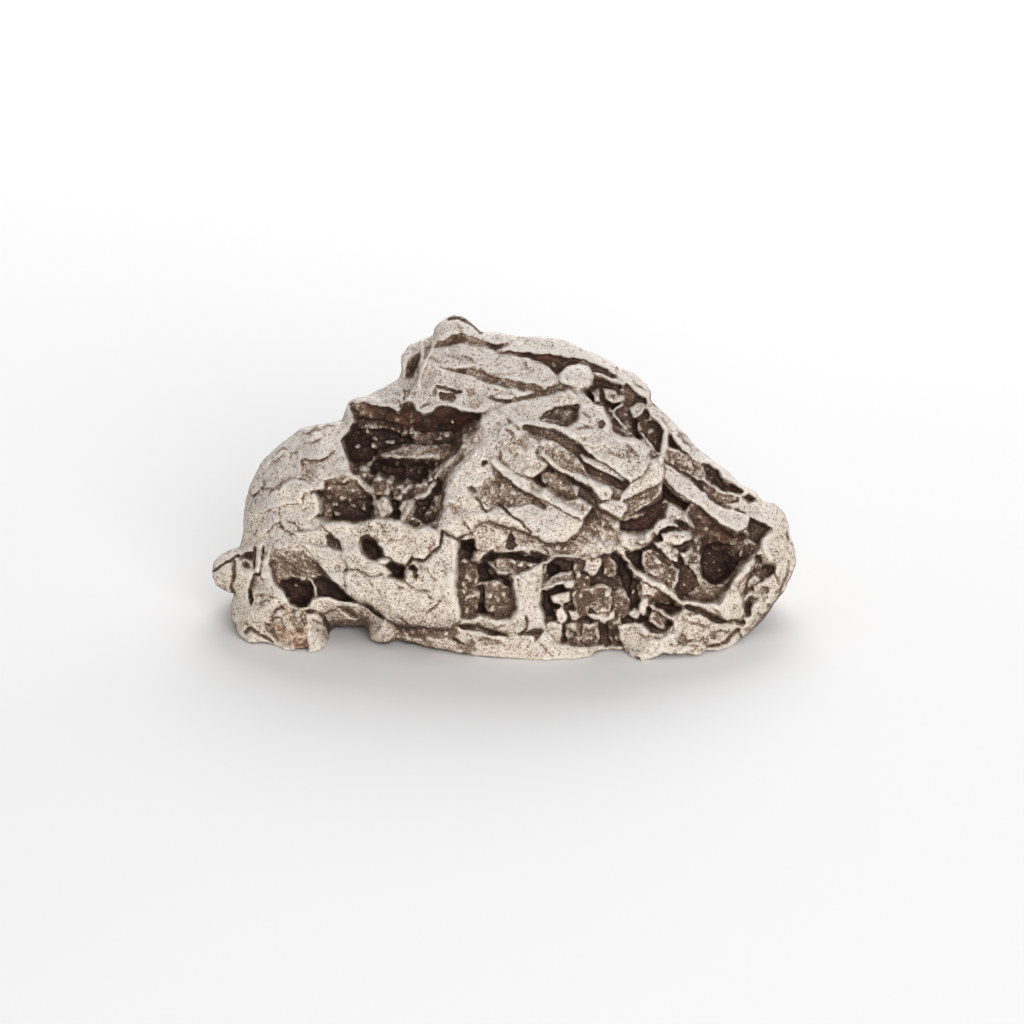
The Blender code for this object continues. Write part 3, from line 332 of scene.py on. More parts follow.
    "chip3": plate("551,594 560,591 570,588 570,597 561,603 554,600",
        -0.5, 0.12, 0.12, slope=(0, 0.2)),
    "chip4": plate("573,573 582,571 589,576 590,600 587,612 579,614 572,602",
        -0.3, 0.4, 0.73, rough=0.1),
    "chip5": plate("589,584 600,581 610,586 611,602 606,612 596,611 588,605",
        -0.3, 0.15, 0.65, slope=(0.1, -0.15), rough=0.3),
    "chip6": plate("585,610 596,612 606,613 613,606 613,613 604,620 593,617", -0.1, 0.1, 0.07),
    "chip7": plate("613,588 622,586 629,596 627,612 619,617 612,604",
        -0.5, 0.15, 0.73, slope=(0.1, -0.1), rough=0.2),
    "chip8": plate("600,556 608,553 616,564 614,577 604,572",
        -0.4, 0.15, 0.65, slope=(0, -0.1), rough=0.2, rust=0.5),
    "chip9": plate("584,559 591,556 600,557 598,568 590,574 582,567", 0.1, 0.12, 0.1, rough=0.6),
    "chip9b": plate("574,556 583,557 583,566 578,573 571,566", -0.4, 0.15, 0.65, rough=0.3),
    "chip10": plate("540,624 551,618 562,620 562,640 549,642 541,634",
        -0.25, 0.2, 0.14, slope=(0, 0.2), rough=0.3),
    "chip11": plate("581,620 597,620 599,640 590,643 581,640",
        -0.35, 0.2, 0.61, slope=(0, 0.2), rough=0.8),
    "chip11b": plate("564,620 578,617 579,640 567,642", -0.4, 0.2, 0.55, slope=(0, 0.2), rough=0.9),
    "chip12": plate("608,616 619,617 622,636 612,642 608,632",
        -0.4, 0.2, 0.67, slope=(0, 0.2), rough=0.5),
    "hole_g": pit("599,620 607,620 611,636 605,643 598,637", -0.9, 0.57),
    "chip13": plate("556,608 562,604 567,613 562,620 556,617", -0.25, 0.12, 0.1),
    "chip14": plate("568,608 576,607 578,614 571,617", -0.3, 0.1, 0.1),
    "hole_h": pit("618,552 626,560 632,576 630,596 622,584 616,570", -1.7, 0.83),
    "tongue": plate("545,545 560,540 575,532 583,527 600,540 607,546 600,553 590,559 575,557 "
        "560,553 550,553", 0.25, 0.15, 0.49, slope=(0.03, 0.1), rough=0.6),
    "tongue_end": plate("582,543 590,540 600,541 607,546 600,553 592,558 585,552",
        0.32, 0.12, 0.08, slope=(0.03, 0.1), rough=0.4),
    "tongue2": plate("583,516 592,507 605,520 615,530 617,547 608,546 596,534 584,527",
        0.1, 0.2, 0.57, slope=(0, 0.15), rough=0.7),
    "red_hollow": pit("617,520 635,517 658,500 668,500 665,520 650,528 640,532 626,533 617,530",
        -1, 0.61, rough=0.3, rust=0.3),
    "deep_shade": pit("661,482 668,487 680,497 690,503 684,512 676,506 663,500 652,510 640,515 "
        "625,518 640,508 657,496", -1.7, 0.72, wall=3.75, rust=0.3),
    "grey_chip": plate("661,504 672,501 684,508 683,518 672,522 662,517",
        -0.7, 0.2, 0.59, rough=0.6),
    "flake1": rib("682,514 684,519 687,525", 0.1, 0.5, 0.03),
    "mid_ruin": pit("650,520 680,518 700,530 703,548 700,575 690,600 675,600 672,588 660,580 "
        "640,570 630,560 625,548 640,545 652,535", -1, 0.68, rough=0.4),
    "cup": plate("617,534 622,531 632,534 642,532 650,528 650,538 643,544 630,549 620,543",
        0.45, 0.4, 0.04),
    "cup_under": pit("622,547 632,551 646,546 642,556 632,561 625,557", -0.9, 0.57),
    "arch": plate("651,527 658,518 668,517 675,526 668,524 660,527 655,533", 0.2, 0.15, 0.06),
    "pebble2": plate("660,533 675,529 688,530 690,536 680,541 670,543 662,539",
        0.15, 0.25, 0.1, slope=(0, -0.1), rough=0.3),
    "pebble3": plate("691,538 697,532 703,535 701,543 694,546", 0.05, 0.3, 0.2, rough=0.5),
    "chip15": plate("653,541 662,540 672,545 677,550 676,560 668,556 660,550",
        0.12, 0.12, 0.12, rough=0.7),
    "chip16": plate("678,551 689,547 695,556 692,567 685,562", 0.1, 0.12, 0.08, rough=0.6),
    "diamond": plate("643,549 650,546 660,556 668,561 676,568 677,575 672,586 660,578 645,570 "
        "641,560", 0.2, 0.12, 0.55, slope=(0.02, -0.1), rough=0.5),
    "diamond_rim": rib("646,547 659,553 668,560 676,568 677,576 672,586", 0.12, 0.22, 0.03),
    "diamond_slit": cut("650,548 658,555 668,562", 0.2, 0.5, 0.8),
    "hole_i": pit("628,556 640,550 641,560 640,568 630,563", -1.3, 0.78),
    "blade_mid": plate("628,563 640,570 650,577 662,584 671,590 679,599 676,600 668,594 655,586 "
        "645,579 634,572", 0.6, 0.12, 0.03),
    "rock1": plate("636,580 646,578 654,586 648,591 638,592", -0.3, 0.2, 0.65),
    "dome_hollow": pit("640,592 655,589 668,592 675,600 686,605 679,611 668,614 660,611 650,603 "
        "643,600", -1.7, 0.8, rust=0.15),
    "dome_roof": plate("642,597 651,590 664,591 673,597 670,602 656,600 645,603",
        -0.6, 0.2, 0.61, slope=(0, 1.5), rust=0.3),
    "ruin_dark": pit("678,560 690,566 700,580 712,592 700,600 684,600 676,590",
        -1.5, 0.83, rough=0.4, rust=0.2),
    "low_dark": pit("630,600 640,594 650,603 664,613 672,622 660,632 648,630 640,622 630,618",
        -1.3, 0.74, rough=0.5),
    "chip17": plate("641,595 647,594 645,603 641,612 637,609", -0.1, 0.12, 0.08),
    "chip18": plate("651,601 656,608 665,615 661,626 648,620",
        -0.2, 0.12, 0.55, slope=(0, -0.2), rough=0.7),
    "chip18_rim": rib("651,601 657,608 665,615", 0.1, 0.2, 0.03),
    "chip19": plate("627,611 633,605 638,610 634,618", -0.2, 0.12, 0.12, rough=0.3),
    "shelf_low": plate("617,621 640,621 647,629 643,636 660,634 672,626 670,618 678,612 682,622 "
        "679,634 684,640 700,638 704,646 668,650 650,655 632,652 622,642", 0.3, 0.25, 0.05),
    "chip20": plate("682,611 694,607 705,616 703,628 690,632 683,625",
        -0.05, 0.12, 0.55, slope=(0, 0.1), rough=0.4),
    "cave_ledge": plate("696,583 706,586 716,590 722,596 716,602 700,600 690,598 686,591",
        -0.9, 0.12, 0.55, slope=(0.1, -0.5), rough=0.4),
    "tooth_big": plate("729,582 736,588 741,598 743,610 740,619 725,618 708,609 698,604 680,602 "
        "680,598 700,600 716,602 723,593", 0.75, 0.3, 0.05, slope=(0, 0.05)),
    "tooth_root": rib("750,560 744,567 738,575 731,584", 0.3, 0.5, 0.12),
    "under_tooth": cut("684,604 698,608 710,616 724,620 742,619", 0.22, 0.6, 0.8),
    "leaf1": plate("704,624 716,620 735,620 742,624 730,628 718,627 708,630", 0.2, 0.15, 0.08),
    "leaf_gap": pit("700,632 712,629 720,632 712,636 702,637", -0.1, 0.41, rough=0.3),
    "leaf_line1": cut("706,644 716,642 726,637 733,630 737,627", 0.15, 0.35, 0.5),
    "leaf_line2": cut("668,642 680,640 700,644", 0.1, 0.15, 0.4),
    "slit_low": pit("646,655 662,649 685,650 700,653 685,658 660,659", -0.25, 0.46, rough=0.3),
    "cave_roof": pit("682,500 700,506 715,516 728,526 745,531 760,538 758,549 750,557 740,566 "
        "730,578 722,584 710,585 700,578 696,566 698,552 694,538 690,526 684,512",
        -2.1, 0.68, wall=3.75, slope=(0, 0.85), rough=0.4, rust=0.5),
    "cave_ring": pit("688,542 700,534 720,544 736,546 740,556 736,572 728,584 722,592 716,600 "
        "700,602 686,592 682,574", -0.9, 0.61, rough=0.5),
    "cave_right": pit("700,548 706,541 716,539 728,542 736,546 738,556 735,567 728,577 720,583 "
        "710,584 702,579 697,568 696,557", -3.5, 0.83, slope=(0, 0.1), rough=0.25, rust=0.2),
    "cave_wall_r": plate("728,526 745,531 758,538 757,548 748,557 738,567 728,576 724,560 722,545",
        -2, 0.15, 0.71, slope=(1.2, 0.2), rough=0.3),
    "red_lump": plate("708,538 716,535 727,538 728,546 720,551 710,548",
        -2.7, 0.3, 0.55, slope=(0, 0.6), rough=0.4, rust=1),
    "wedge_notch": pit("746,514 760,520 773,527 765,534 758,545 747,537 742,525",
        -1.3, 0.55, wall=3.75, slope=(0, 0.2)),
    "right_nook": pit("752,550 760,552 764,560 776,563 775,572 765,578 768,590 760,594 748,590 "
        "742,600 740,590 742,578 750,562", -1.1, 0.48, rough=0.5),
    "chip21": plate("746,578 753,572 758,578 752,585 746,586", -0.4, 0.12, 0.25, rough=0.6),
    "chip22": plate("752,586 760,580 765,578 768,584 762,592 754,593", -0.3, 0.15, 0.15, rough=0.3),
    "wedge_dark": pit("742,600 748,592 760,596 753,602 751,612 745,616 743,608", -1.5, 0.81),
    "boss": plate("760,542 765,534 775,531 783,540 784,552 776,562 768,561 761,552",
        0.45, 0.6, 0.06),
    "lobe_line": cut("788,558 787,567 784,578 779,590", 0.12, 0.25, 0.5),
    "lobe_line2": cut("786,531 787,540", 0.12, 0.25, 0.5),
    "groove_up": pit("665,432 672,436 682,448 698,462 708,462 718,470 722,478 735,482 745,490 "
        "740,493 718,491 703,482 700,466 690,458 676,451 666,447", -1.5, 0.8, wall=3.75),
    "groove_low": pit("661,459 666,459 680,468 695,478 706,482 716,491 738,494 738,501 722,503 "
        "728,508 718,507 708,499 695,488 682,476 668,467", -1.3, 0.78, wall=3.75),
    "rib_mid": pit("665,449 680,452 694,459 702,464 705,476 700,481 690,476 679,469 667,461",
        -0.35, 0.53, slope=(0, 0.1), rough=0.9, rust=0.3),
    "slip": plate("700,484 710,488 722,494 737,495 736,501 722,502 710,497",
        -0.5, 0.15, 0.5, slope=(0, -0.1), rough=0.3),
    "blade": plate("663,463 672,468 685,478 698,489 710,501 722,507 735,512 746,515 744,525 "
        "735,530 722,524 710,514 700,507 688,500 676,490 667,482 661,478",
        0.65, 0.3, 0.03, slope=(0, -0.1)),
    "blade_eye": pit("731,508 738,507 746,513 738,512", -0.1, 0.69),
    "spark_gap": pit("739,494 748,491 758,497 760,501 745,501", -0.9, 0.78, rough=1),
    "shell_zone": pit("590,386 594,378 604,379 618,383 628,386 640,396 648,400 645,408 652,416 "
        "660,425 663,440 660,452 655,455 645,440 634,440 622,436 612,432 610,418 602,408 592,404 "
        "583,395 582,388", -0.9, 0.69, wall=3.75, rough=0.2),
    "shell_deep1": pit("584,388 591,384 593,392 590,402 586,399", -1.6, 0.83),
    "shell_deep2": pit("602,398 612,400 620,405 614,411 606,408", -1.9, 0.86),
    "shell_deep3": pit("630,420 637,417 638,430 641,441 635,441 631,432", -2, 0.86),
    "shell1": plate("602,388 612,389 620,397 622,402 612,403 604,397",
        -0.3, 0.15, 0.35, slope=(0, 0.1), rough=0.5, rust=0.2),
    "shell2": plate("591,392 596,391 598,400 593,404", -0.1, 0.15, 0.12),
    "shell3": plate("620,388 628,388 636,396 632,408 622,408 616,400",
        -0.6, 0.15, 0.7, slope=(0, 0.2), rust=0.3),
    "shell4": plate("630,408 637,402 644,404 640,413 633,417", 0, 0.2, 0.12),
    "shell5": rib("613,417 615,409 622,405", 0.12, 0.4, 0.06),
    "shell6": rib("608,406 616,418 626,430 636,441", 0.12, 0.4, 0.1),
    "shell7": plate("612,423 619,427 631,438 622,438 612,433", -0.3, 0.1, 0.5),
    "shell8": rib("641,433 648,443 657,453", 0.1, 0.5, 0.08),
    "shell9": rib("650,417 658,420 664,430 665,442 662,454 659,461", 0.2, 0.55, 0.06),
    "shell10": rib("594,374 604,377 614,380 622,386", 0.14, 0.5, 0.06),
    "shell11": rib("648,401 642,409 636,417", 0.14, 0.5, 0.1),
    "peak": plate("434,347 433,336 440,322 452,315 463,316 472,323 482,331 500,332 524,336 "
        "515,342 503,346 490,346 480,341 465,335 452,336 445,341 440,344", 0.45, 0.5, 0.12),
    "peak_cleft": cut("449,320 458,318 466,321 474,328 481,333", 0.2, 0.34, 0.85),
    "crest_gap": pit("434,341 444,342 452,336 462,334 475,337 485,341 500,344 512,341 500,349 "
        "485,347 470,343 455,345 440,348", -0.55, 0.74, rust=0.55),
    "crest": plate("498,350 512,342 526,338 545,336 565,340 585,349 610,360 632,372 647,383 "
        "652,392 647,399 638,395 628,385 618,380 610,374 598,367 588,362 575,358 560,357 545,355 "
        "525,354 510,352", 0.5, 0.45, 0.13),
    "crest_recess": pit("506,351 525,353 545,355 560,357 575,357 584,361 576,365 567,369 560,377 "
        "550,371 540,363 522,357", -0.5, 0.61, rough=0.2, rust=0.9),
    "crest_recess2": pit("588,363 596,363 608,369 619,376 612,379 600,374 592,372", -0.3, 0.6),
    "ball": plate("559,375 566,367 578,364 588,368 592,377 590,386 580,390 568,386 560,381",
        0.95, 0.7, 0.08),
    "roof_groove": pit("432,363 442,367 455,370 470,368 482,369 490,373 500,376 515,380 530,383 "
        "545,387 556,381 559,386 548,394 536,396 520,392 505,389 490,385 475,380 460,377 446,372",
        0.1, 0.46, wall=1.5, rough=0.5),
    "groove_rib": rib("431,366 445,371 458,375 470,379 485,384 500,389 518,393", 0.1, 0.16, 0.03),
    "roof_crack1": cut("438,387 450,390 462,393", 0.12, 0.4, 0.8),
    "roof_dent": pit("440,391 455,392 457,398 452,404 446,400 440,400",
        0.05, 0.55, rough=0.4, rust=0.15),
    "roof_crack2": cut("490,398 500,401 511,402", 0.14, 0.35, 0.8),
    "rust_spot": pit("466,390 474,389 479,395 472,397", 0.35, 0.32, rust=0.5),
    "tl_recess": pit("408,352 414,344 421,339 425,341 424,352 421,364 414,378 405,380 405,364",
        -0.6, 0.52, rough=0.8),
    "tl_blade1": rib("423,341 423,352 421,366 420,378", 0.12, 0.4, 0.08),
    "tl_blade2": rib("432,338 433,347 428,358 422,372 420,385", 0.14, 0.4, 0.06),
    "ridge_hollow": pit("537,422 546,413 556,407 578,404 578,416 573,423 560,427 546,426",
        0.6, 0.39, slope=(0, -0.3), rough=1),
    "bar_dimple": pit("596,421 601,419 605,423 603,428 598,428", 1.5, 0.55),
    "eave_crack": cut("405,392 406,400 402,408", 0.1, 0.3, 0.8),
    "dome1": flake("306,443 318,441 325,437", 1.1, 0.33, 0.7),
    "dome2": flake("299,457 312,459 322,459 330,455 339,448", 1.6, 0.51, 0.7),
    "dome3": flake("251,495 258,491 264,484 263,478", 1.3, 0.45, 0.7),
    "dome4": cut("278,452 283,447 287,449", 0.1, 0.2, 0.5),
    "dome5": cut("291,460 292,452 298,451", 0.1, 0.2, 0.5),
    "dome6": rib("301,450 300,462 300,472 298,478", 0.13, 0.22, 0.05),
    "dome6b": flake("314,486 308,481 300,478 291,479 283,483 277,489 267,498", 1.6, 0.45, 0.35),
    "dome_pale": rib("258,524 278,516 300,512 318,508", 1.9, 0, -0.07),
    "dome7": flake("318,431 326,425 340,424", 0.9, 0.27, 0.5),
    "dome7b": flake("264,470 272,462 284,455 290,446", 1.4, 0.3, 0.3),
    "dome7c": flake("250,520 262,512 276,508 292,503 306,505", 1.5, 0.27, 0.25),
    "dome7d": flake("262,536 272,528 278,521 284,519", 0.8, 0.24, 0.5),
    "dome7e": flake("330,520 316,528 300,530 288,527", 1, 0.21, 0.3),
    "dome7f": flake("300,500 312,494 318,486", 0.9, 0.22, 0.3),
    "dome8": cut("281,512 283,522 288,530 297,533", 0.12, 0.2, 0.6),
    "dome9": cut("276,534 283,522 275,520 270,528", 0.08, 0.12, 0.4),
    "dome10": cut("318,467 322,463 327,467", 0.08, 0.15, 0.5),
    "dome_dent": pit("302,460 320,461 322,470 312,480 301,474", -0.15, 0.18, wall=1.12, rough=0.3),
}

# Single crystals in the front's hollows: place, radius in chart steps, height and dirt.
CRUMBS = [
    (470, 575, 4, 0.25, 0.6), (476, 592, 3.4, 0.25, 0.55), (466, 608, 3, 0.2, 0.4),
    (498, 568, 2.4, 0.2, 0.3), (530, 553, 2.6, 0.2, 0.5), (290, 596, 3, 0.35, 0.15),
    (296, 583, 2.4, 0.25, 0.3), (331, 487, 2.2, 0.2, 0.1), (339, 503, 2.2, 0.2, 0.1),
    (365, 508, 3, 0.4, 0.12), (367, 431, 3, 0.4, 0.05), (374, 438, 2.6, 0.4, 0.05),
    (373, 446, 3.2, 0.4, 0.06), (357, 445, 3, 0.4, 0.08), (393, 441, 2.6, 0.4, 0.06),
    (371, 462, 2.6, 0.4, 0.08), (427, 462, 2.2, 0.3, 0.1), (436, 462, 2, 0.3, 0.1),
    (418, 459, 2, 0.3, 0.1), (388, 441, 2.4, 0.3, 0.15), (405, 444, 2.6, 0.3, 0.15),
    (440, 438, 3.4, 0.4, 0.06), (447, 434, 3.4, 0.4, 0.06), (452, 423, 2.4, 0.4, 0.1),
    (466, 437, 3, 0.25, 0.2), (388, 458, 2.5, 0.3, 0.2), (366, 468, 5, 0.7, 0.18),
    (372, 487, 4.5, 0.6, 0.3), (380, 478, 4.5, 0.6, 0.3), (391, 480, 5, 0.6, 0.35),
    (388, 491, 4.5, 0.5, 0.3), (377, 504, 5, 0.7, 0.12), (384, 512, 5, 0.6, 0.1),
    (398, 486, 3.6, 0.5, 0.25), (405, 491, 4.2, 0.5, 0.3), (411, 486, 3.4, 0.4, 0.35),
    (400, 498, 4, 0.5, 0.25), (334, 502, 3.2, 0.4, 0.15), (344, 497, 3, 0.3, 0.4),
    (355, 505, 3.5, 0.4, 0.45), (338, 512, 4, 0.35, 0.55), (404, 516, 4.5, 0.4, 0.15),
    (414, 516, 3, 0.3, 0.2), (474, 552, 3.5, 0.4, 0.2), (500, 578, 3, 0.3, 0.2),
    (478, 560, 3, 0.35, 0.3), (511, 560, 3.4, 0.3, 0.2), (497, 556, 3, 0.3, 0.25),
    (520, 563, 3.6, 0.3, 0.3),
]

# Crystals strewn over an area: its outline, how many, the least and the greatest radius, the
# height of the greatest, and the least and the greatest dirt.
STREWN = [
    ("538,421 552,410 576,405 576,418 562,425", 14, 1.2, 2.8, 0.22, 0.05, 0.4),
    ("352,425 480,425 476,440 440,450 352,445", 24, 1.2, 2.6, 0.25, 0.1, 0.5),
    ("350,455 430,458 440,480 430,515 380,515 366,485", 40, 1.4, 3.6, 0.35, 0.15, 0.6),
    ("326,482 360,480 376,497 376,516 326,518", 16, 1.2, 3, 0.25, 0.25, 0.65),
    ("276,550 310,556 345,590 300,602 284,590", 18, 1.2, 2.6, 0.2, 0.3, 0.65),
    ("462,540 545,552 515,580 514,612 464,614", 44, 1.4, 3.6, 0.3, 0.2, 0.65),
    ("541,562 575,557 616,550 642,580 645,622 620,643 556,640 541,600",
        44, 1.5, 3.6, 0.3, 0.1, 0.6),
    ("630,545 655,522 690,520 703,540 700,575 690,600 660,580", 30, 1.5, 3.6, 0.3, 0.1, 0.55),
    ("700,540 750,540 735,572 705,580", 20, 1, 2.2, 0.2, 0.2, 0.6),
    ("640,592 686,604 680,632 655,632 632,618", 34, 1.4, 3.6, 0.3, 0.15, 0.6),
    ("586,388 640,398 660,425 658,452 612,430", 34, 1.3, 3.4, 0.3, 0.15, 0.6),
    ("668,436 700,462 744,492 735,500 700,492 666,462", 36, 1.2, 3, 0.25, 0.2, 0.65),
    ("745,560 770,556 766,590 745,604", 16, 1.4, 3.4, 0.25, 0.15, 0.55),
    ("400,624 455,628 508,634 500,648 400,636", 26, 1.4, 3.6, 0.14, 0.1, 0.5),
    ("686,622 740,612 738,640 700,646", 26, 1.5, 3.6, 0.16, 0.1, 0.55),
    ("508,354 560,360 556,376 530,366", 8, 1.2, 2.6, 0.2, 0.3, 0.6),
    ("250,600 325,605 320,645 262,638", 18, 1.4, 3.4, 0.14, 0.1, 0.5),
    ("556,612 620,614 620,645 556,645", 26, 1.6, 3.6, 0.3, 0.15, 0.55),
    ("500,545 560,545 560,560 500,560", 10, 1.4, 3, 0.25, 0.2, 0.6),
    ("583,516 617,520 617,550 590,556", 18, 1.4, 3.2, 0.2, 0.25, 0.6),
    ("466,478 530,500 505,506 478,500", 14, 1.2, 2.6, 0.12, 0.2, 0.55),
    ("540,470 600,500 585,498 548,484", 12, 1.2, 2.6, 0.14, 0.25, 0.6),
]

# The back, on the same chart as if seen through the lump; heights stand out behind.
BACK = {
    "long_ledge": plate("262,522 300,497 352,484 405,466 452,442 500,408 536,384 566,392 548,420 "
        "506,452 462,482 412,502 356,516 306,532", 0.9, 0.5, 0.12, wall=3, slope=(0.02, -0.05)),
    "heel": plate("548,548 566,518 612,498 664,492 716,500 744,522 726,546 676,560 612,566",
        0.8, 0.5, 0.12, wall=3, slope=(-0.03, 0.05)),
    "saddle_plate": plate("424,420 434,392 470,372 520,358 574,360 604,378 572,394 520,402 472,428",
        0.7, 0.5, 0.12, wall=3, slope=(0, 0.05)),
    "shoulder_plate": plate("590,412 626,400 664,424 700,462 704,486 662,476 622,458 594,440",
        0.75, 0.5, 0.12, wall=3, slope=(0.04, 0)),
    "back_step": plate("330,566 346,542 392,530 440,540 482,534 520,548 522,572 470,582 392,580",
        0.7, 0.5, 0.12, wall=3, slope=(0, -0.05)),
    "long_cleft": pit("330,528 392,516 446,500 498,470 540,436 564,424 572,440 540,470 494,504 "
        "444,526 392,530 344,538", -0.9, 0.7, slope=(0, 0.1), rough=0.3),
    "scar": pit("586,470 624,466 668,484 660,496 616,500 578,514 566,496",
        -1, 0.7, slope=(0.05, 0), rough=0.3),
    "pocket": pit("520,556 530,530 552,520 566,534 552,560 536,574",
        -1.3, 0.7, slope=(0, 0.1), rough=0.3),
    "top_dent": pit("476,402 510,386 540,380 530,396 498,414 480,418", -0.6, 0.7, rough=0.3),
    "end_dent": pit("284,560 300,544 330,546 336,566 316,582 292,578", -0.8, 0.7, rough=0.3),
    "flake1": plate("330,500 380,486 420,478 410,492 360,506 336,508",
        1.2, 0.2, 0.12, wall=3, slope=(0.02, -0.05)),
    "flake2": plate("620,420 660,432 690,458 650,454 622,438",
        1.05, 0.2, 0.12, wall=3, slope=(0.04, 0)),
    "flake3": plate("450,384 500,366 560,364 546,378 492,390 460,396",
        0.95, 0.2, 0.12, wall=3, slope=(0, 0.05)),
    "flake4": plate("600,520 650,512 706,520 690,538 640,544 606,538",
        1.05, 0.2, 0.12, wall=3, slope=(-0.03, 0.05)),
    "flake5": plate("380,556 420,548 460,552 500,560 460,572 400,570",
        0.95, 0.2, 0.12, wall=3, slope=(0, -0.05)),
    "low_scar": pit("380,590 430,584 470,590 510,586 500,604 450,610 400,606",
        -0.4, 0.5, rough=0.8),
    "left_patch": pit("240,500 268,486 300,480 320,492 300,512 262,524 240,518",
        -0.25, 0.42, rough=0.8),
    "mid_patch": pit("560,440 600,430 618,446 620,462 600,466 575,462", -0.3, 0.45, rough=0.7),
    "right_patch": pit("690,560 720,546 752,530 756,556 730,580 700,580", -0.3, 0.45, rough=0.8),
    "top_patch": pit("470,345 520,342 560,350 545,360 500,362 475,358", -0.3, 0.5, rough=0.7),
    "ledge_patch": pit("440,470 470,452 500,436 506,446 470,470 446,480", 0.55, 0.42, rough=0.8),
    "shoulder_hole": pit("640,396 660,404 676,424 664,430 648,418", -0.8, 0.75, rough=0.3),
    "foot_hole": pit("600,590 630,582 652,590 640,606 610,606", -0.8, 0.75, rough=0.3),
    "small_hole1": pit("404,440 420,434 430,446 418,458 406,452", -0.6, 0.7, rough=0.3),
    "small_hole2": pit("350,448 364,440 372,452 360,462", -0.5, 0.65, rough=0.3),
    "small_hole3": pit("560,600 576,594 582,606 568,614", -0.5, 0.7, rough=0.3),
    "crack1": cut("250,470 290,456 330,452 372,440", 0.12, 0.4, 0.8),
    "crack2": cut("420,620 470,612 540,616 590,608", 0.12, 0.35, 0.8),
    "crack3": cut("590,570 640,574 690,566 730,544", 0.12, 0.35, 0.8),
    "crack4": cut("300,590 350,600 400,612", 0.12, 0.35, 0.8),
    "crack5": cut("690,440 720,462 744,490", 0.12, 0.35, 0.8),
    "rib1": rib("270,500 310,486 350,474", 0.25, 0.3, 0.08),
    "rib2": rib("600,480 650,492 700,500", 0.2, 0.3, 0.08),
    "rib3": rib("470,420 500,400 540,392 580,390", 0.2, 0.3, 0.08),
}

BACK_STREWN = [
    ("350,530 440,512 500,474 556,432 566,440 500,490 440,522", 46, 1.4, 4, 0.4, 0.2, 0.6),
    ("580,474 624,470 660,486 610,496 580,508", 26, 1.4, 3.6, 0.35, 0.2, 0.6),
    ("380,590 470,590 510,588 450,608 400,604", 24, 1.4, 3.6, 0.25, 0.2, 0.55),
    ("240,500 300,482 318,492 262,522", 24, 1.4, 3.6, 0.25, 0.15, 0.5),
    ("690,564 750,534 754,556 702,578", 20, 1.4, 3.6, 0.25, 0.15, 0.5),
]


# ---------------------------------------------------------------- noise
def smooth_step(t):
    """0 to 1 with level ends, for t from 0 to 1."""
    return t * t * (3.0 - 2.0 * t)


def stretch(lattice, axis, count, cell, step):
    """Reads a lattice of random numbers along one axis at count places step apart, smoothly."""
    place = np.arange(count) * (step / cell)
    low = place.astype(int)
    t = smooth_step(place - low).astype(np.float32)
    shape = [1] * lattice.ndim
    shape[axis] = count
    t = t.reshape(shape)
    return lattice.take(low, axis) * (1 - t) + lattice.take(low + 1, axis) * t


def noise(shape, cell, seed, step=1.0):
    """Smooth random values from -1 to 1: random numbers on a lattice with the given cell,
    blended along each axis in turn."""
    counts = [int(n * step / cell) + 3 for n in shape]
    field = np.random.default_rng(seed).uniform(-1, 1, counts).astype(np.float32)
    for axis, n in enumerate(shape):
        field = stretch(field, axis, n, cell, step)
    return field


def layered(shape, cell, seed, layers=3, fade=0.5, step=1.0):
    """Noise on noise: each layer has half the cell and fade times the height of the last."""
    total = noise(shape, cell, seed, step)
    for k in range(1, layers):
        total = total + fade ** k * noise(shape, cell / 2 ** k, seed + 17 * k, step)
    return total


def ragged(shape, seed):
    """How far outlines stray on the chart, in chart steps: wide bends and small notches."""
    return 0.9 * layered(shape, 16, seed, 2) + 0.75 * layered(shape, 4.5, seed + 3, 2, 0.7)


def blocks(x, y, size, seed):
    """Broken ground: each place belongs to the nearest of middles scattered about size apart.
    Returns the block's height, raised and tilted at random, the distance to its edge (both in
    shares of size) and its own random number."""
    x, y = (x - CHART_LEFT) / size + 2, (y - CHART_TOP) / size + 2
    counts = (int(y.max()) + 4, int(x.max()) + 4)
    rng = np.random.default_rng(seed)
    jitter_x, jitter_y = rng.uniform(0.05, 0.95, (2, *counts))
    lift, lean_x, lean_y, luck = rng.uniform(-1, 1, (4, *counts))
    first = np.full(x.shape, 9.0)
    second = first.copy()
    height, number = np.zeros(x.shape), np.zeros(x.shape)
    for di in (-1, 0, 1):
        for dj in (-1, 0, 1):
            i, j = y.astype(int) + di, x.astype(int) + dj
            dx, dy = x - j - jitter_x[i, j], y - i - jitter_y[i, j]
            far = np.hypot(dx, dy)
            best = far < first
            second = np.where(best, first, np.minimum(second, far))
            first = np.where(best, far, first)
            own = 0.55 * lift[i, j] + 0.9 * (lean_x[i, j] * dx + lean_y[i, j] * dy)
            height = np.where(best, own, height)
            number = np.where(best, luck[i, j], number)
    return height, second - first, number


# ---------------------------------------------------------------- shapes on the chart
def path_distance(x, y, path):
    """Distance in chart steps from each place to a path of straight runs."""
    nearest = np.full(x.shape, 1e9, np.float32)
    for (ax, ay), (bx, by) in zip(path[:-1], path[1:]):
        dx, dy = bx - ax, by - ay
        t = np.clip(((x - ax) * dx + (y - ay) * dy) / (dx * dx + dy * dy + 1e-9), 0, 1)
        nearest = np.minimum(nearest, np.hypot(x - ax - t * dx, y - ay - t * dy))
    return nearest


def outline_distance(x, y, outline):
    """Distance to a closed outline, negative inside it: a ray to the right counts its sides."""
    inside = np.zeros(x.shape, bool)
    for (ax, ay), (bx, by) in zip(outline, outline[1:] + outline[:1]):
        if ay != by:
            crosses = (ay > y) != (by > y)
            inside ^= crosses & (x < (bx - ax) * (y - ay) / (by - ay) + ax)
    distance = path_distance(x, y, outline + outline[:1])
    return np.where(inside, -distance, distance)


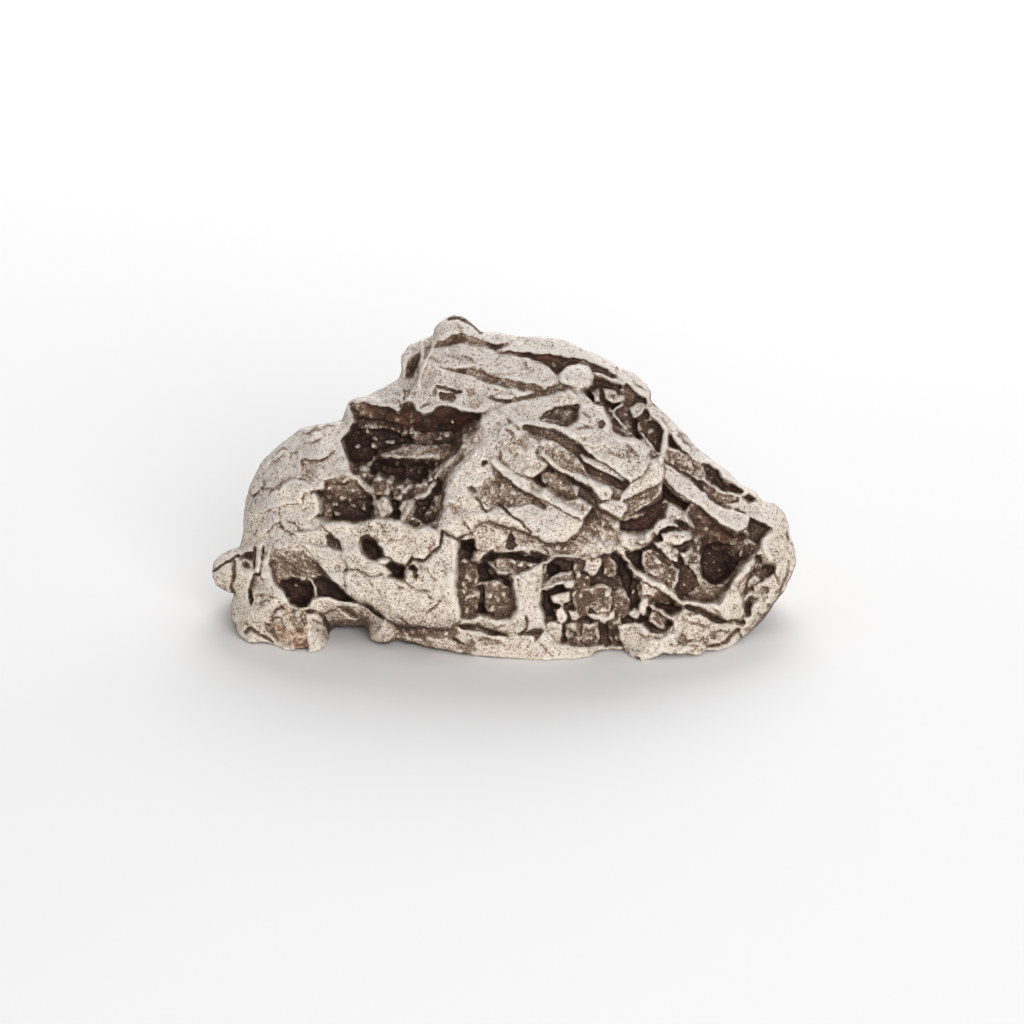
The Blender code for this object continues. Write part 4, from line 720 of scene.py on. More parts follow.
def mean_around(field, radius):
    """Mean over a square or a cube of places, one axis at a time, from running sums."""
    width = 2 * radius + 1
    for axis, n in enumerate(field.shape):
        pad = [(0, 0)] * field.ndim
        pad[axis] = (radius + 1, radius)
        sums = np.cumsum(np.pad(field, pad, mode="edge"), axis=axis)
        ahead = sums.take(np.arange(width, width + n), axis)
        field = (ahead - sums.take(np.arange(n), axis)) / width
    return field


def bulge(inset, width):
    """Quarter circle: 0 on the rim, 1 from width mm inwards."""
    t = np.clip(inset / width, 0, 1)
    return np.sqrt(1 - (1 - t) ** 2)


class Side:
    """One side of the lump on the chart: its height out (or back), dirt with painted shade,
    roughness and rust.
    """

    def __init__(self, sign):
        x, y = np.meshgrid(np.arange(CHART_LEFT, CHART_RIGHT, dtype=np.float32),
                           np.arange(CHART_TOP, CHART_BOTTOM, dtype=np.float32))
        across = (x - CHART_FOOT[0]) * CHART_STEP
        up = (CHART_FOOT[1] - y) * CHART_STEP
        torn = 1.0 if sign > 0 else BACK_TORN
        self.wander_x = x + ragged(x.shape, 5) * torn
        self.wander_y = y + ragged(x.shape, 77) * torn
        self.edge = outline_distance(x, y, corners(OUTLINE)) * CHART_STEP
        rim = np.maximum(RIM_OUT, -up * RIM_FOOT)
        front = FRONT_REACH - FRONT_LEAN * (up + 1) ** 2 - FRONT_TAPER * across ** 2
        back = BACK_REACH - BACK_LEAN * (up - 1) ** 2 - BACK_TAPER * across ** 2
        front = rim + (front - rim) * bulge(-self.edge, FRONT_ROUND)
        back = rim - np.maximum(back, LEAST_BACK) * bulge(-self.edge, BACK_ROUND)
        self.core, far_side = (front, back) if sign > 0 else (-back, -front)
        self.least = far_side + WALL
        self.height = self.core.copy()
        self.grime_and_shade = np.full(x.shape, 0.08, np.float32)
        self.rough = np.zeros(x.shape, np.float32)
        self.rust = np.zeros(x.shape, np.float32)

    def window(self, points, margin=16):
        """The part of the chart around some points."""
        points = np.array(points)
        x0, y0 = points.min(0) - margin
        x1, y1 = points.max(0) + margin
        rows = slice(max(int(y0) - CHART_TOP, 0), int(y1) - CHART_TOP)
        columns = slice(max(int(x0) - CHART_LEFT, 0), int(x1) - CHART_LEFT)
        return rows, columns

    def blend(self, part, weight, grime_and_shade, rough, rust):
        """Moves the dirt, roughness and rust of a part towards new ones by weight."""
        for field, value in ((self.grime_and_shade, grime_and_shade), (self.rough, rough), (self.rust, rust)):
            field[part] += (value - field[part]) * weight

    def slab(self, outline, height, grime_and_shade, wall, slope, rough, rust, edge=None):
        """A plate: the core's face raised by height and tilted by slope, rounded inside its
        outline and falling outside it.  With no edge, a hollow: the same face as a floor, never
        nearer to the far side than WALL, under walls that fall inside the outline."""
        part = self.window(outline)
        x, y = self.wander_x[part], self.wander_y[part]
        distance = outline_distance(x, y, outline) * CHART_STEP
        mid_x, mid_y = np.mean(outline, axis=0)
        top = self.core[part] + height
        top = top + (slope[0] * (x - mid_x) - slope[1] * (y - mid_y)) * CHART_STEP
        now = self.height[part]
        if edge is None:
            drop = wall * np.maximum(-distance, 0) ** 1.1 * WALL_FALL
            new = np.maximum(np.maximum(top, now - drop), self.least[part])
            wins = (new < now) & (distance < 0)
            down = 0.3 + 0.7 * np.clip((now - new) / np.maximum(now - top, 0.05), 0, 1)
        else:
            edge = edge * EDGE_SHARE
            t = np.clip((distance + edge) / edge, 0, 1)
            new = top - edge * (1 - np.sqrt(1 - t * t)) - WALL_FALL * wall * np.maximum(distance, 0)
            wins, down = new > now, 1.0
        now[wins] = new[wins]
        self.blend(part, np.clip(0.5 - distance / 0.1, 0, 1) * wins * down, grime_and_shade, rough, rust)

    def line(self, path, half_width, height, grime_and_shade):
        """A raised rib (height > 0) or a crack (height < 0) along a path, round in section."""
        part = self.window(path)
        distance = path_distance(self.wander_x[part], self.wander_y[part], path) * CHART_STEP
        t = distance / half_width / (0.75 if height < 0 else 1.0)
        self.height[part] += height * np.sqrt(np.clip(1 - t * t, 0, 1))
        self.blend(part, np.clip(1.8 - 1.9 * t, 0, 1), grime_and_shade, 0, 0)

    def crumb(self, x, y, radius, height, grime_and_shade, turn):
        """A small crystal on the ground that is there: a knob with five flat sides, turned by
        turn and leaning that way."""
        part = self.window([(x, y)], int(radius) + 4)
        dx, dy = self.wander_x[part] - x, self.wander_y[part] - y
        distance = np.zeros(dx.shape)
        for n in range(5):
            angle = turn + n * 1.2566 + 0.4 * math.sin(3 * n + turn * 5)
            distance = np.maximum(distance, dx * math.cos(angle) + dy * math.sin(angle))
        t = distance / radius
        lean = 0.25 * (dx * math.cos(turn) + dy * math.sin(turn)) / radius
        self.height[part] += height * np.clip(1.9 * (1 - t), 0, 1) * (1 + lean)
        self.blend(part, np.clip(2.5 - 2.5 * t, 0, 1), grime_and_shade, 0.1, 0)

    def strew(self, rng, outline, count, small, large, height, clean, dirty_and_shaded):
        """Small crystals strewn at random inside an outline."""
        low, high = np.min(outline, axis=0), np.max(outline, axis=0)
        while count > 0:
            x, y = rng.uniform(low, high)
            size, dirt, turn = rng.uniform((small, clean, 0), (large, dirty_and_shaded, 6.28))
            if outline_distance(np.array([[x]]), np.array([[y]]), outline)[0, 0] < 0:
                self.crumb(x, y, size, height * size / large, dirt, turn)
                count -= 1

    def flake(self, path, reach, height, grime_and_shade):
        """The lifted edge of a flake: raised on the left of the path, fading reach mm away and
        towards both ends."""
        part = self.window(path, int(reach / CHART_STEP) + 4)
        x, y = self.wander_x[part], self.wander_y[part]
        distance, side, fade = np.full(x.shape, 1e9), np.zeros(x.shape), np.ones(x.shape)
        runs = len(path) - 1
        for n, ((ax, ay), (bx, by)) in enumerate(zip(path[:-1], path[1:])):
            dx, dy = bx - ax, by - ay
            t = np.clip(((x - ax) * dx + (y - ay) * dy) / (dx * dx + dy * dy), 0, 1)
            far = np.hypot(x - ax - t * dx, y - ay - t * dy)
            near = far < distance
            distance = np.where(near, far, distance)
            side = np.where(near, dx * (y - ay) - dy * (x - ax), side)
            fade = np.where(near, 1 - np.abs(2 * (n + t) / runs - 1) ** 4, fade)
        distance = distance * CHART_STEP
        rise = np.where(side < 0, np.clip(1 - distance / reach, 0, 1), 0)
        self.height[part] += height * fade * rise * np.clip(distance / 0.05, 0, 1)
        line = np.where(side < 0, 0.5, 1.0) * np.clip(1.6 - distance / 0.09, 0, 1) * fade
        self.blend(part, np.clip(line, 0, 1), grime_and_shade, 0.1, 0)

    def wear(self, seed):
        """Small lifted flakes and dents all over, lying along the grain of the lump: it falls to
        the right on most of the front, rises on the left dome and lies flat along the foot."""
        rng = np.random.default_rng(seed)
        low = (CHART_LEFT + 10, CHART_TOP + 10)
        high = (CHART_RIGHT - 10, CHART_BOTTOM - 10)
        for n in range(WORN_PLACES):
            x, y = rng.uniform(low, high)
            if self.edge[int(y) - CHART_TOP, int(x) - CHART_LEFT] > -0.3:
                continue
            on_dome = x < DOME_RIGHT and y < DOME_LOW
            lie = DOME_LIE if on_dome else FOOT_LIE if y > FOOT_TOP else GRAIN_LIE
            lie += rng.normal(0, 0.4)
            if rng.random() < 0.75:
                run = rng.uniform(5, 15) * 0.45
                path = [(x, y)]
                for turn in rng.normal(0, 0.25, 4):
                    ax, ay = path[-1]
                    path.append((ax + run * math.cos(lie + turn), ay + run * math.sin(lie + turn)))
                if rng.random() < 0.35:
                    path.reverse()
                reach, height = rng.uniform(0.3, 1.1), rng.uniform(0.06, 0.2)
                self.flake(path, reach, height, rng.uniform(0.3, 0.75))
            else:
                radius, depth = rng.uniform(2.5, 9), rng.uniform(0.05, 0.2)
                self.crumb(x, y, radius, -depth, rng.uniform(0.1, 0.35), lie)

    def weather(self, seed):
        """Folds the skin into creases, darkens the walls of ledges with painted shade, most where
        they face down, cleans what stands proud, darkens creases and dips with dirt and painted
        shade, and breaks the rough ground into blocks of two sizes."""
        shape = self.height.shape
        crease = 1 - np.abs(layered(shape, 26, seed + 50, 3, 0.55))
        self.height += 0.18 * (crease - 0.75) + 0.04 * layered(shape, 8, seed + 60, 2, 0.5)
        dy, dx = np.gradient(self.height, CHART_STEP)
        slope = np.hypot(dx, dy)
        steep = smooth_step(np.clip((slope - 1.3) / 2.2, 0, 1))
        down = 0.5 - 0.5 * dy / (slope + 0.3)
        patchy = 1 + 0.5 * layered(shape, 9, seed)
        # painted shade: the walls of ledges darken, most where they face down
        self.grime_and_shade += (0.5 - self.grime_and_shade).clip(0) * steep * down ** 2 * patchy.clip(0, 1)
        proud = self.height - mean_around(self.height, 3)
        rubbed = 0.16 * smooth_step(np.clip(proud / 0.12, 0, 1))
        self.grime_and_shade -= rubbed * np.clip(self.grime_and_shade, 0.1, 0.8)
        # darker in small creases: partly dirt, partly painted shade
        self.grime_and_shade += 0.12 * smooth_step(np.clip(-proud / 0.16, 0, 1))
        proud = self.height - mean_around(self.height, 9)
        # darker in wider dips: partly dirt, partly painted shade
        self.grime_and_shade += 0.15 * smooth_step(np.clip(-proud / 0.35, 0, 1))
        for size, lift, shade in BROKEN_BLOCKS:
            height, edge, number = blocks(self.wander_x, self.wander_y, size, seed + size)
            crack = np.clip(1 - edge / 0.14, 0, 1)
            rim = np.clip(1 - np.abs(edge - 0.3) / 0.18, 0, 1) * (number > -0.2)
            self.height += self.rough * lift * (height - 0.45 * crack)
            self.grime_and_shade += self.rough * shade * (number + 1.1 * crack - 0.7 * rim)
        self.grime_and_shade = np.clip(self.grime_and_shade, 0, 1.1)

    def steepness(self):
        """1 / length of the face's gradient, for turning heights into distances."""
        dy, dx = np.gradient(self.height, CHART_STEP)
        return 1 / np.sqrt(1 + np.minimum(dx * dx + dy * dy, 30.0))


def make_side(sign, shapes, crumbs, strewn, seed):
    """One side with everything that is listed for it, then worn and weathered."""
    side = Side(sign)
    for kind, *values in shapes.values():
        getattr(side, kind)(*values)
    for n, values in enumerate(crumbs):
        side.crumb(*values, 2.4 * n)
    rng = np.random.default_rng(88)
    for outline, *values in strewn:
        side.strew(rng, corners(outline), *values)
    side.wear(seed + 1)
    side.weather(seed)
    return side


# ---------------------------------------------------------------- the lump as a field of cells
def read_chart(field, x, y):
    """Values of a chart field between its places, blended from the four around."""
    rows, columns = field.shape
    x = np.clip(x - CHART_LEFT, 0, columns - 1.001)
    y = np.clip(y - CHART_TOP, 0, rows - 1.001)
    j, i = x.astype(np.int32), y.astype(np.int32)
    s, t = (x - j).astype(np.float32), (y - i).astype(np.float32)
    flat = field.ravel()
    k = i * columns + j
    upper = flat[k] * (1 - s) + flat[k + 1] * s
    lower = flat[k + columns] * (1 - s) + flat[k + columns + 1] * s
    return upper * (1 - t) + lower * t


def read_volume(field, places):
    """Values of a field of cells at places (across, up, out), blended from the eight around."""
    p = np.clip((places - LOW) / CELL, 0, np.array(field.shape) - 1.001)
    base = p.astype(np.int64)
    t = p - base
    total = 0
    for corner in range(8):
        step = np.array((corner & 1, corner >> 1 & 1, corner >> 2))
        weight = np.prod(np.where(step, t, 1 - t), axis=1)
        i, j, k = (base + step).T
        total = total + weight * field[i, j, k]
    return total


def smooth_max(a, b, width):
    """The larger of two fields, with the crease between them rounded over width."""
    h = np.maximum(width - np.abs(a - b), 0) / width
    return np.maximum(a, b) + h * h * width * 0.25


class Lump:
    """The solid: a field that is negative inside, and how its places drift on the chart."""

    def __init__(self, front, back):
        self.front, self.back = front, back
        shape = tuple(int(n) for n in np.ceil((HIGH - LOW) / CELL))
        across, up, out = (np.arange(n, dtype=np.float32) * CELL + low
                           for n, low in zip(shape, LOW))
        self.drift_x, self.drift_y = (
            sum(steps * noise(shape, wave, seed + n, CELL)
                for n, (steps, wave) in enumerate(DRIFT_WAVES)) for seed in (11, 13))
        grain = 0.04 * layered(shape, 0.9, 21, 2, 0.5, CELL) + 0.014 * noise(shape, 0.26, 24, CELL)
        coarse = 0.07 * layered(shape, 0.45, 31, 2, 0.7, CELL)
        field = np.empty(shape, np.float32)
        chart_x = (across / CHART_STEP + CHART_FOOT[0])[:, None]
        chart_y = (CHART_FOOT[1] - up / CHART_STEP)[None, :]
        front_steep, back_steep = front.steepness(), back.steepness()
        for k, level in enumerate(out):
            x, y = chart_x + self.drift_x[:, :, k], chart_y + self.drift_y[:, :, k]
            outside = 5.0 * np.maximum(read_chart(front.edge, x, y), 0)
            ahead = level - read_chart(front.height, x, y) + outside
            behind = -level - read_chart(back.height, x, y) + outside
            ahead = ahead * read_chart(front_steep, x, y)
            behind = behind * read_chart(back_steep, x, y)
            rough = np.where(ahead > behind, read_chart(front.rough, x, y),
                             read_chart(back.rough, x, y))
            field[:, :, k] = np.maximum(ahead, behind) + grain[:, :, k] + rough * coarse[:, :, k]
        sin_t, cos_t = math.sin(CHART_TILT), math.cos(CHART_TILT)
        ground = up[None, :, None] * cos_t + out[None, None, :] * sin_t + FRAME_SHIFT[2]
        dents = 0.25 * np.maximum(noise((shape[0], 1, shape[2]), 2.6, 41, CELL), 0)
        under = 0.12 + dents - ground
        self.field = smooth_max(field, under.astype(np.float32), 0.25)

    def hollow(self, reach):
        """Share of iron within reach mm of a cell: over a half in a nook, under it on an edge."""
        solid = (self.field < 0).astype(np.float32)
        return mean_around(solid, max(int(round(reach / CELL)), 1))

    def read_sides(self, name, places):
        """A chart field at places of the skin, from the side that each place belongs to."""
        x = places[:, 0] / CHART_STEP + CHART_FOOT[0] + read_volume(self.drift_x, places)
        y = CHART_FOOT[1] - places[:, 1] / CHART_STEP + read_volume(self.drift_y, places)
        ahead = places[:, 2] - read_chart(self.front.height, x, y)
        behind = -places[:, 2] - read_chart(self.back.height, x, y)
        return np.where(ahead > behind, read_chart(getattr(self.front, name), x, y),
                        read_chart(getattr(self.back, name), x, y))


def crossings(cells, field, cell_corners):
    """The mean of the points where the surface cuts each cell's edges, in cells."""
    values = {c: field[tuple((cells + c).T)] for c in cell_corners}
    total = np.zeros((len(cells), 3))
    hits = np.zeros(len(cells))
    for a in cell_corners:
        for axis in range(3):
            if a[axis]:
                continue
            b = tuple(1 if n == axis else a[n] for n in range(3))
            va, vb = values[a], values[b]
            cuts = (va < 0) != (vb < 0)
            point = np.tile(np.array(a, float), (len(cells), 1))
            point[:, axis] = np.where(cuts, va / np.where(cuts, va - vb, 1), 0)
            total += point * cuts[:, None]
            hits += cuts
    return cells + total / hits[:, None]


def skin(field):
    """Surface nets: a vertex in each cell that the surface crosses, at the mean of the points
    where it cuts the cell's edges, and a quad round each grid edge that it cuts."""
    solid = field < 0
    count = np.zeros([n - 1 for n in field.shape], np.uint8)
    cell_corners = [(i, j, k) for i in (0, 1) for j in (0, 1) for k in (0, 1)]
    for i, j, k in cell_corners:
        count += solid[i:i - 1 or None, j:j - 1 or None, k:k - 1 or None]
    cells = np.argwhere((count > 0) & (count < 8))
    number = np.full(count.shape, -1, np.int32)
    number[tuple(cells.T)] = np.arange(len(cells))
    quads = []
    for axis in range(3):
        near, far = [slice(1, -1)] * 3, [slice(1, -1)] * 3
        near[axis], far[axis] = slice(0, -1), slice(1, None)
        a, b = solid[tuple(near)], solid[tuple(far)]
        p, q = [n for n in range(3) if n != axis]
        for turned, cuts in ((False, a & ~b), (True, b & ~a)):
            edge = np.argwhere(cuts) + [int(n != axis) for n in range(3)]
            ring = []
            for dp, dq in ((0, 0), (1, 0), (1, 1), (0, 1)):
                cell = edge.copy()
                cell[:, p] -= dp
                cell[:, q] -= dq
                ring.append(number[tuple(cell.T)])
            if turned != (axis == 1):
                ring.reverse()
            quads.append(np.stack(ring, axis=1))
    return crossings(cells, field, cell_corners) * CELL + LOW, np.concatenate(quads)


def to_frame(places):
    """(across, up, out) in mm -> points of the frame in metres."""
    sin_t, cos_t = math.sin(CHART_TILT), math.cos(CHART_TILT)
    across, up, out = places.T
    x = across + FRAME_SHIFT[0]
    y = up * sin_t - out * cos_t + FRAME_SHIFT[1]
    z = up * cos_t + out * sin_t + FRAME_SHIFT[2]
    return np.stack((x, y, z), axis=1) * MM


def largest_body(places, quads):
    """The biggest connected piece alone: labels spread along the quads until they settle."""
    label = np.arange(len(places))
    while True:
        low = label[quads].min(axis=1)
        new = label.copy()
        for n in range(4):
            np.minimum.at(new, quads[:, n], low)
        new = new[new]
        if (new == label).all():
            break
        label = new
    names, sizes = np.unique(label, return_counts=True)
    quads = quads[label[quads[:, 0]] == names[sizes.argmax()]]
    used, quads_of_used = np.unique(quads, return_inverse=True)
    return places[used], quads_of_used.reshape(quads.shape)


# ---------------------------------------------------------------- the piece
def mesh_from(name, points, faces):
    mesh = bpy.data.meshes.new(name)
    mesh.vertices.add(len(points))
    mesh.vertices.foreach_set("co", points.astype(np.float32).ravel())
    mesh.loops.add(faces.size)
    mesh.loops.foreach_set("vertex_index", faces.astype(np.int32).ravel())
    mesh.polygons.add(len(faces))
    starts = np.arange(len(faces), dtype=np.int32) * faces.shape[1]
    mesh.polygons.foreach_set("loop_start", starts)
    mesh.update(calc_edges=True)
    mesh.validate()
    return mesh


def add_piece(name, mesh, material):
    piece = bpy.data.objects.new(name, mesh)
    bpy.context.scene.collection.objects.link(piece)
    mesh.materials.append(material)
    return piece


def thinned(mesh, wanted, plain):
    """Fewer triangles where the skin is flat, and fewest where plain (0 to 1) is high."""
    helper = bpy.data.objects.new("helper", mesh)
    bpy.context.scene.collection.objects.link(helper)
    group = helper.vertex_groups.new(name="plain")
    steps = np.round(plain * 10).astype(int)
    for n in range(11):
        group.add(np.flatnonzero(steps == n).tolist(), n / 10, "REPLACE")
    thin = helper.modifiers.new("thin", "DECIMATE")
    thin.ratio = wanted / (2.0 * len(mesh.polygons))
    thin.vertex_group = "plain"
    thin.vertex_group_factor = THIN_PLAIN
    depsgraph = bpy.context.evaluated_depsgraph_get()
    result = bpy.data.meshes.new_from_object(helper.evaluated_get(depsgraph))
    bpy.data.objects.remove(helper)
    return result


def plainness(places):
    """1 at the back and on the underside, where triangles can be spared, and 0.1 in front."""
    across, up, out = places.T
    return np.where((out > -1.5) & (up >= -0.35 * out - 0.3), 0.1, 1.0)


def read_vectors(values, key):
    """One vector of each of a mesh's vertices, as an array of rows."""
    rows = np.empty(len(values) * 3, np.float32)
    values.foreach_get(key, rows)
    return rows.reshape(-1, 3)


def settled(points):
    """The foot lowered onto the floor and the top left where it is, with nothing below it."""
    points[:, 2] -= SETTLE * (1 - points[:, 2] / LUMP_HEIGHT)
    points[:, 2] = np.maximum(points[:, 2], FLOOR_GAP)
    return points


def make_lump():
    """The whole skin, thinned and set on the floor, with what the finish needs to know of each
    place: its dirt with painted shade and its rust, how much iron is around it, and 0 facing up to
    1 facing down, for painted top light and painted shade on undersides."""
    front = make_side(1, FRONT, CRUMBS, STREWN, 300)
    back = make_side(-1, BACK, (), BACK_STREWN, 700)
    lump = Lump(front, back)
    places, quads = largest_body(*skin(lump.field))
    mesh = thinned(mesh_from("skin", places, quads), KEPT_TRIANGLES, plainness(places))
    mesh.name = "iron_lump"
    mesh.shade_smooth()
    places = read_vectors(mesh.vertices, "co").astype(float)
    mesh.vertices.foreach_set("co", settled(to_frame(places)).astype(np.float32).ravel())
    told = {name: lump.read_sides(name, places) for name in ("grime_and_shade", "rust")}
    for name, reach in (("nook", 0.25), ("hollow", 0.8), ("cave", 2.0)):
        told[name] = read_volume(lump.hollow(reach), places)
    # which way each place faces, for painted top light and painted shade on undersides
    told["under"] = 0.5 - 0.5 * read_vectors(mesh.vertex_normals, "vector")[:, 2]
    for name, values in told.items():
        layer = mesh.attributes.new(name, "FLOAT", "POINT")
        layer.data.foreach_set("value", values.astype(np.float32))
    return mesh


# ---------------------------------------------------------------- the finish
def srgb(red, green, blue):
    """A colour given as 0-255 screen values, made linear."""
    def linear(c):
        c /= 255
        return c / 12.92 if c <= 0.04045 else ((c + 0.055) / 1.055) ** 2.4
    return linear(red), linear(green), linear(blue), 1.0


CREAM = srgb(240, 226, 209)
# painted sky reflection: lavender over the cream where the iron faces up or stands high, with some
# random patches
LAVENDER_SKY_SHEEN = srgb(224, 216, 210)
SHADES = [(0.0, srgb(46, 28, 20)), (0.16, srgb(74, 52, 39)), (0.34, srgb(106, 83, 66)),
          (0.50, srgb(138, 116, 97)), (0.66, srgb(178, 159, 140)), (0.82, srgb(214, 199, 183)),
          (1.0, srgb(244, 238, 231))]
RUST = srgb(128, 66, 44)
OCHRE = srgb(192, 146, 98)
DEEP_RED = srgb(104, 42, 30)
WHITE_PAPER = (0.92, 0.92, 0.92, 1.0)
WHITE = (1.0, 1.0, 1.0, 1.0)


class Value:
    """A socket in a material: + - and * on it add Math nodes."""

    def __init__(self, finish, socket):
        self.finish, self.socket = finish, socket

    def __add__(self, other):
        return self.finish.math("ADD", self, other)

    def __sub__(self, other):
        return self.finish.math("SUBTRACT", self, other)

    def __rsub__(self, other):
        return self.finish.math("SUBTRACT", other, self)

    def __mul__(self, other):
        return self.finish.math("MULTIPLY", self, other)

    def clamp(self):
        return self.finish.math("ADD", self, 0.0, clamp=True)


class Finish:
    """A material and the short way to add nodes to it."""

    def __init__(self, name):
        self.material = bpy.data.materials.new(name)
        self.material.use_nodes = True
        self.tree = self.material.node_tree
        self.shader = self.tree.nodes["Principled BSDF"]

    def plug(self, socket, value):
        if isinstance(value, Value):
            self.tree.links.new(value.socket, socket)
        else:
            socket.default_value = value

    def node(self, kind, settings, inputs, output=0):
        """Adds a node: its settings first, then its sockets' values or links."""
        node = self.tree.nodes.new(kind)
        for key, value in settings.items():
            setattr(node, key, value)
        for key, value in inputs.items():
            self.plug(node.inputs[key], value)
        return Value(self, node.outputs[output])

    def math(self, operation, a, b, clamp=False):
        settings = {"operation": operation, "use_clamp": clamp}
        return self.node("ShaderNodeMath", settings, {0: a, 1: b})

    def attribute(self, name):
        return self.node("ShaderNodeAttribute", {"attribute_name": name}, {}, "Fac")

    def place(self):
        """Object coordinates in millimetres."""
        here = self.node("ShaderNodeTexCoord", {}, {}, "Object")
        inputs = {"Vector": here, "Scale": 1 / MM}
        return self.node("ShaderNodeVectorMath", {"operation": "SCALE"}, inputs)

    def cloud(self, place, size, detail, roughness, distortion=0.0):
        """Noise with patches about size mm across."""
        inputs = {"Vector": place, "Scale": 1 / size, "Detail": detail, "Roughness": roughness,
                  "Distortion": distortion}
        return self.node("ShaderNodeTexNoise", {"noise_dimensions": "3D"}, inputs, "Fac")

    def cells(self, place, size, feature, output):
        inputs = {"Vector": place, "Scale": 1 / size}
        return self.node("ShaderNodeTexVoronoi", {"feature": feature}, inputs, output)

    def luck(self, place, size):
        """A random number for each grain, grains being about size mm across."""
        colour = self.cells(place, size, "F1", "Color")
        return self.node("ShaderNodeSeparateColor", {}, {"Color": colour}, "Red")

    def seam(self, place, size, outside, inside):
        """Lines round cells about size mm across: 1 on the line, from inside its edge, and 0
        from outside it."""
        return self.band(self.cells(place, size, "DISTANCE_TO_EDGE", "Distance"), outside, inside)

    def warp(self, place, size, reach):
        """The place pushed about by up to reach / 2 mm, in swirls size mm across."""
        inputs = {"Vector": place, "Scale": 1 / size, "Detail": 1.0}
        push = self.node("ShaderNodeTexNoise", {}, inputs, "Color")
        inputs = {0: push, 1: (reach, reach, reach), 2: place}
        return self.node("ShaderNodeVectorMath", {"operation": "MULTIPLY_ADD"}, inputs)

    def band(self, value, low, high):
        """0 below low, 1 above high, smooth between (or falling, if low is above high)."""
        a, b = min(low, high), max(low, high)
        at_a, at_b = (0.0, 1.0) if low < high else (1.0, 0.0)
        inputs = {"Value": value, "From Min": a, "From Max": b, "To Min": at_a, "To Max": at_b}
        settings = {"interpolation_type": "SMOOTHSTEP"}
        return self.node("ShaderNodeMapRange", settings, inputs, "Result")

    def ramp(self, value, stops):
        """A colour for each value, blended between the stops."""
        node = self.tree.nodes.new("ShaderNodeValToRGB")
        while len(node.color_ramp.elements) < len(stops):
            node.color_ramp.elements.new(0.5)
        for element, (position, colour) in zip(node.color_ramp.elements, stops):
            element.position, element.color = position, colour
        self.plug(node.inputs["Fac"], value)
        return Value(self, node.outputs["Color"])

    def mix(self, weight, a, b):
        """Colour a where weight is 0, b where it is 1."""
        return self.node("ShaderNodeMix", {"data_type": "RGBA"}, {0: weight, 6: a, 7: b}, 2)

    def feed(self, **sockets):
        for name, value in sockets.items():
            self.plug(self.shader.inputs[name.replace("_", " ")], value)


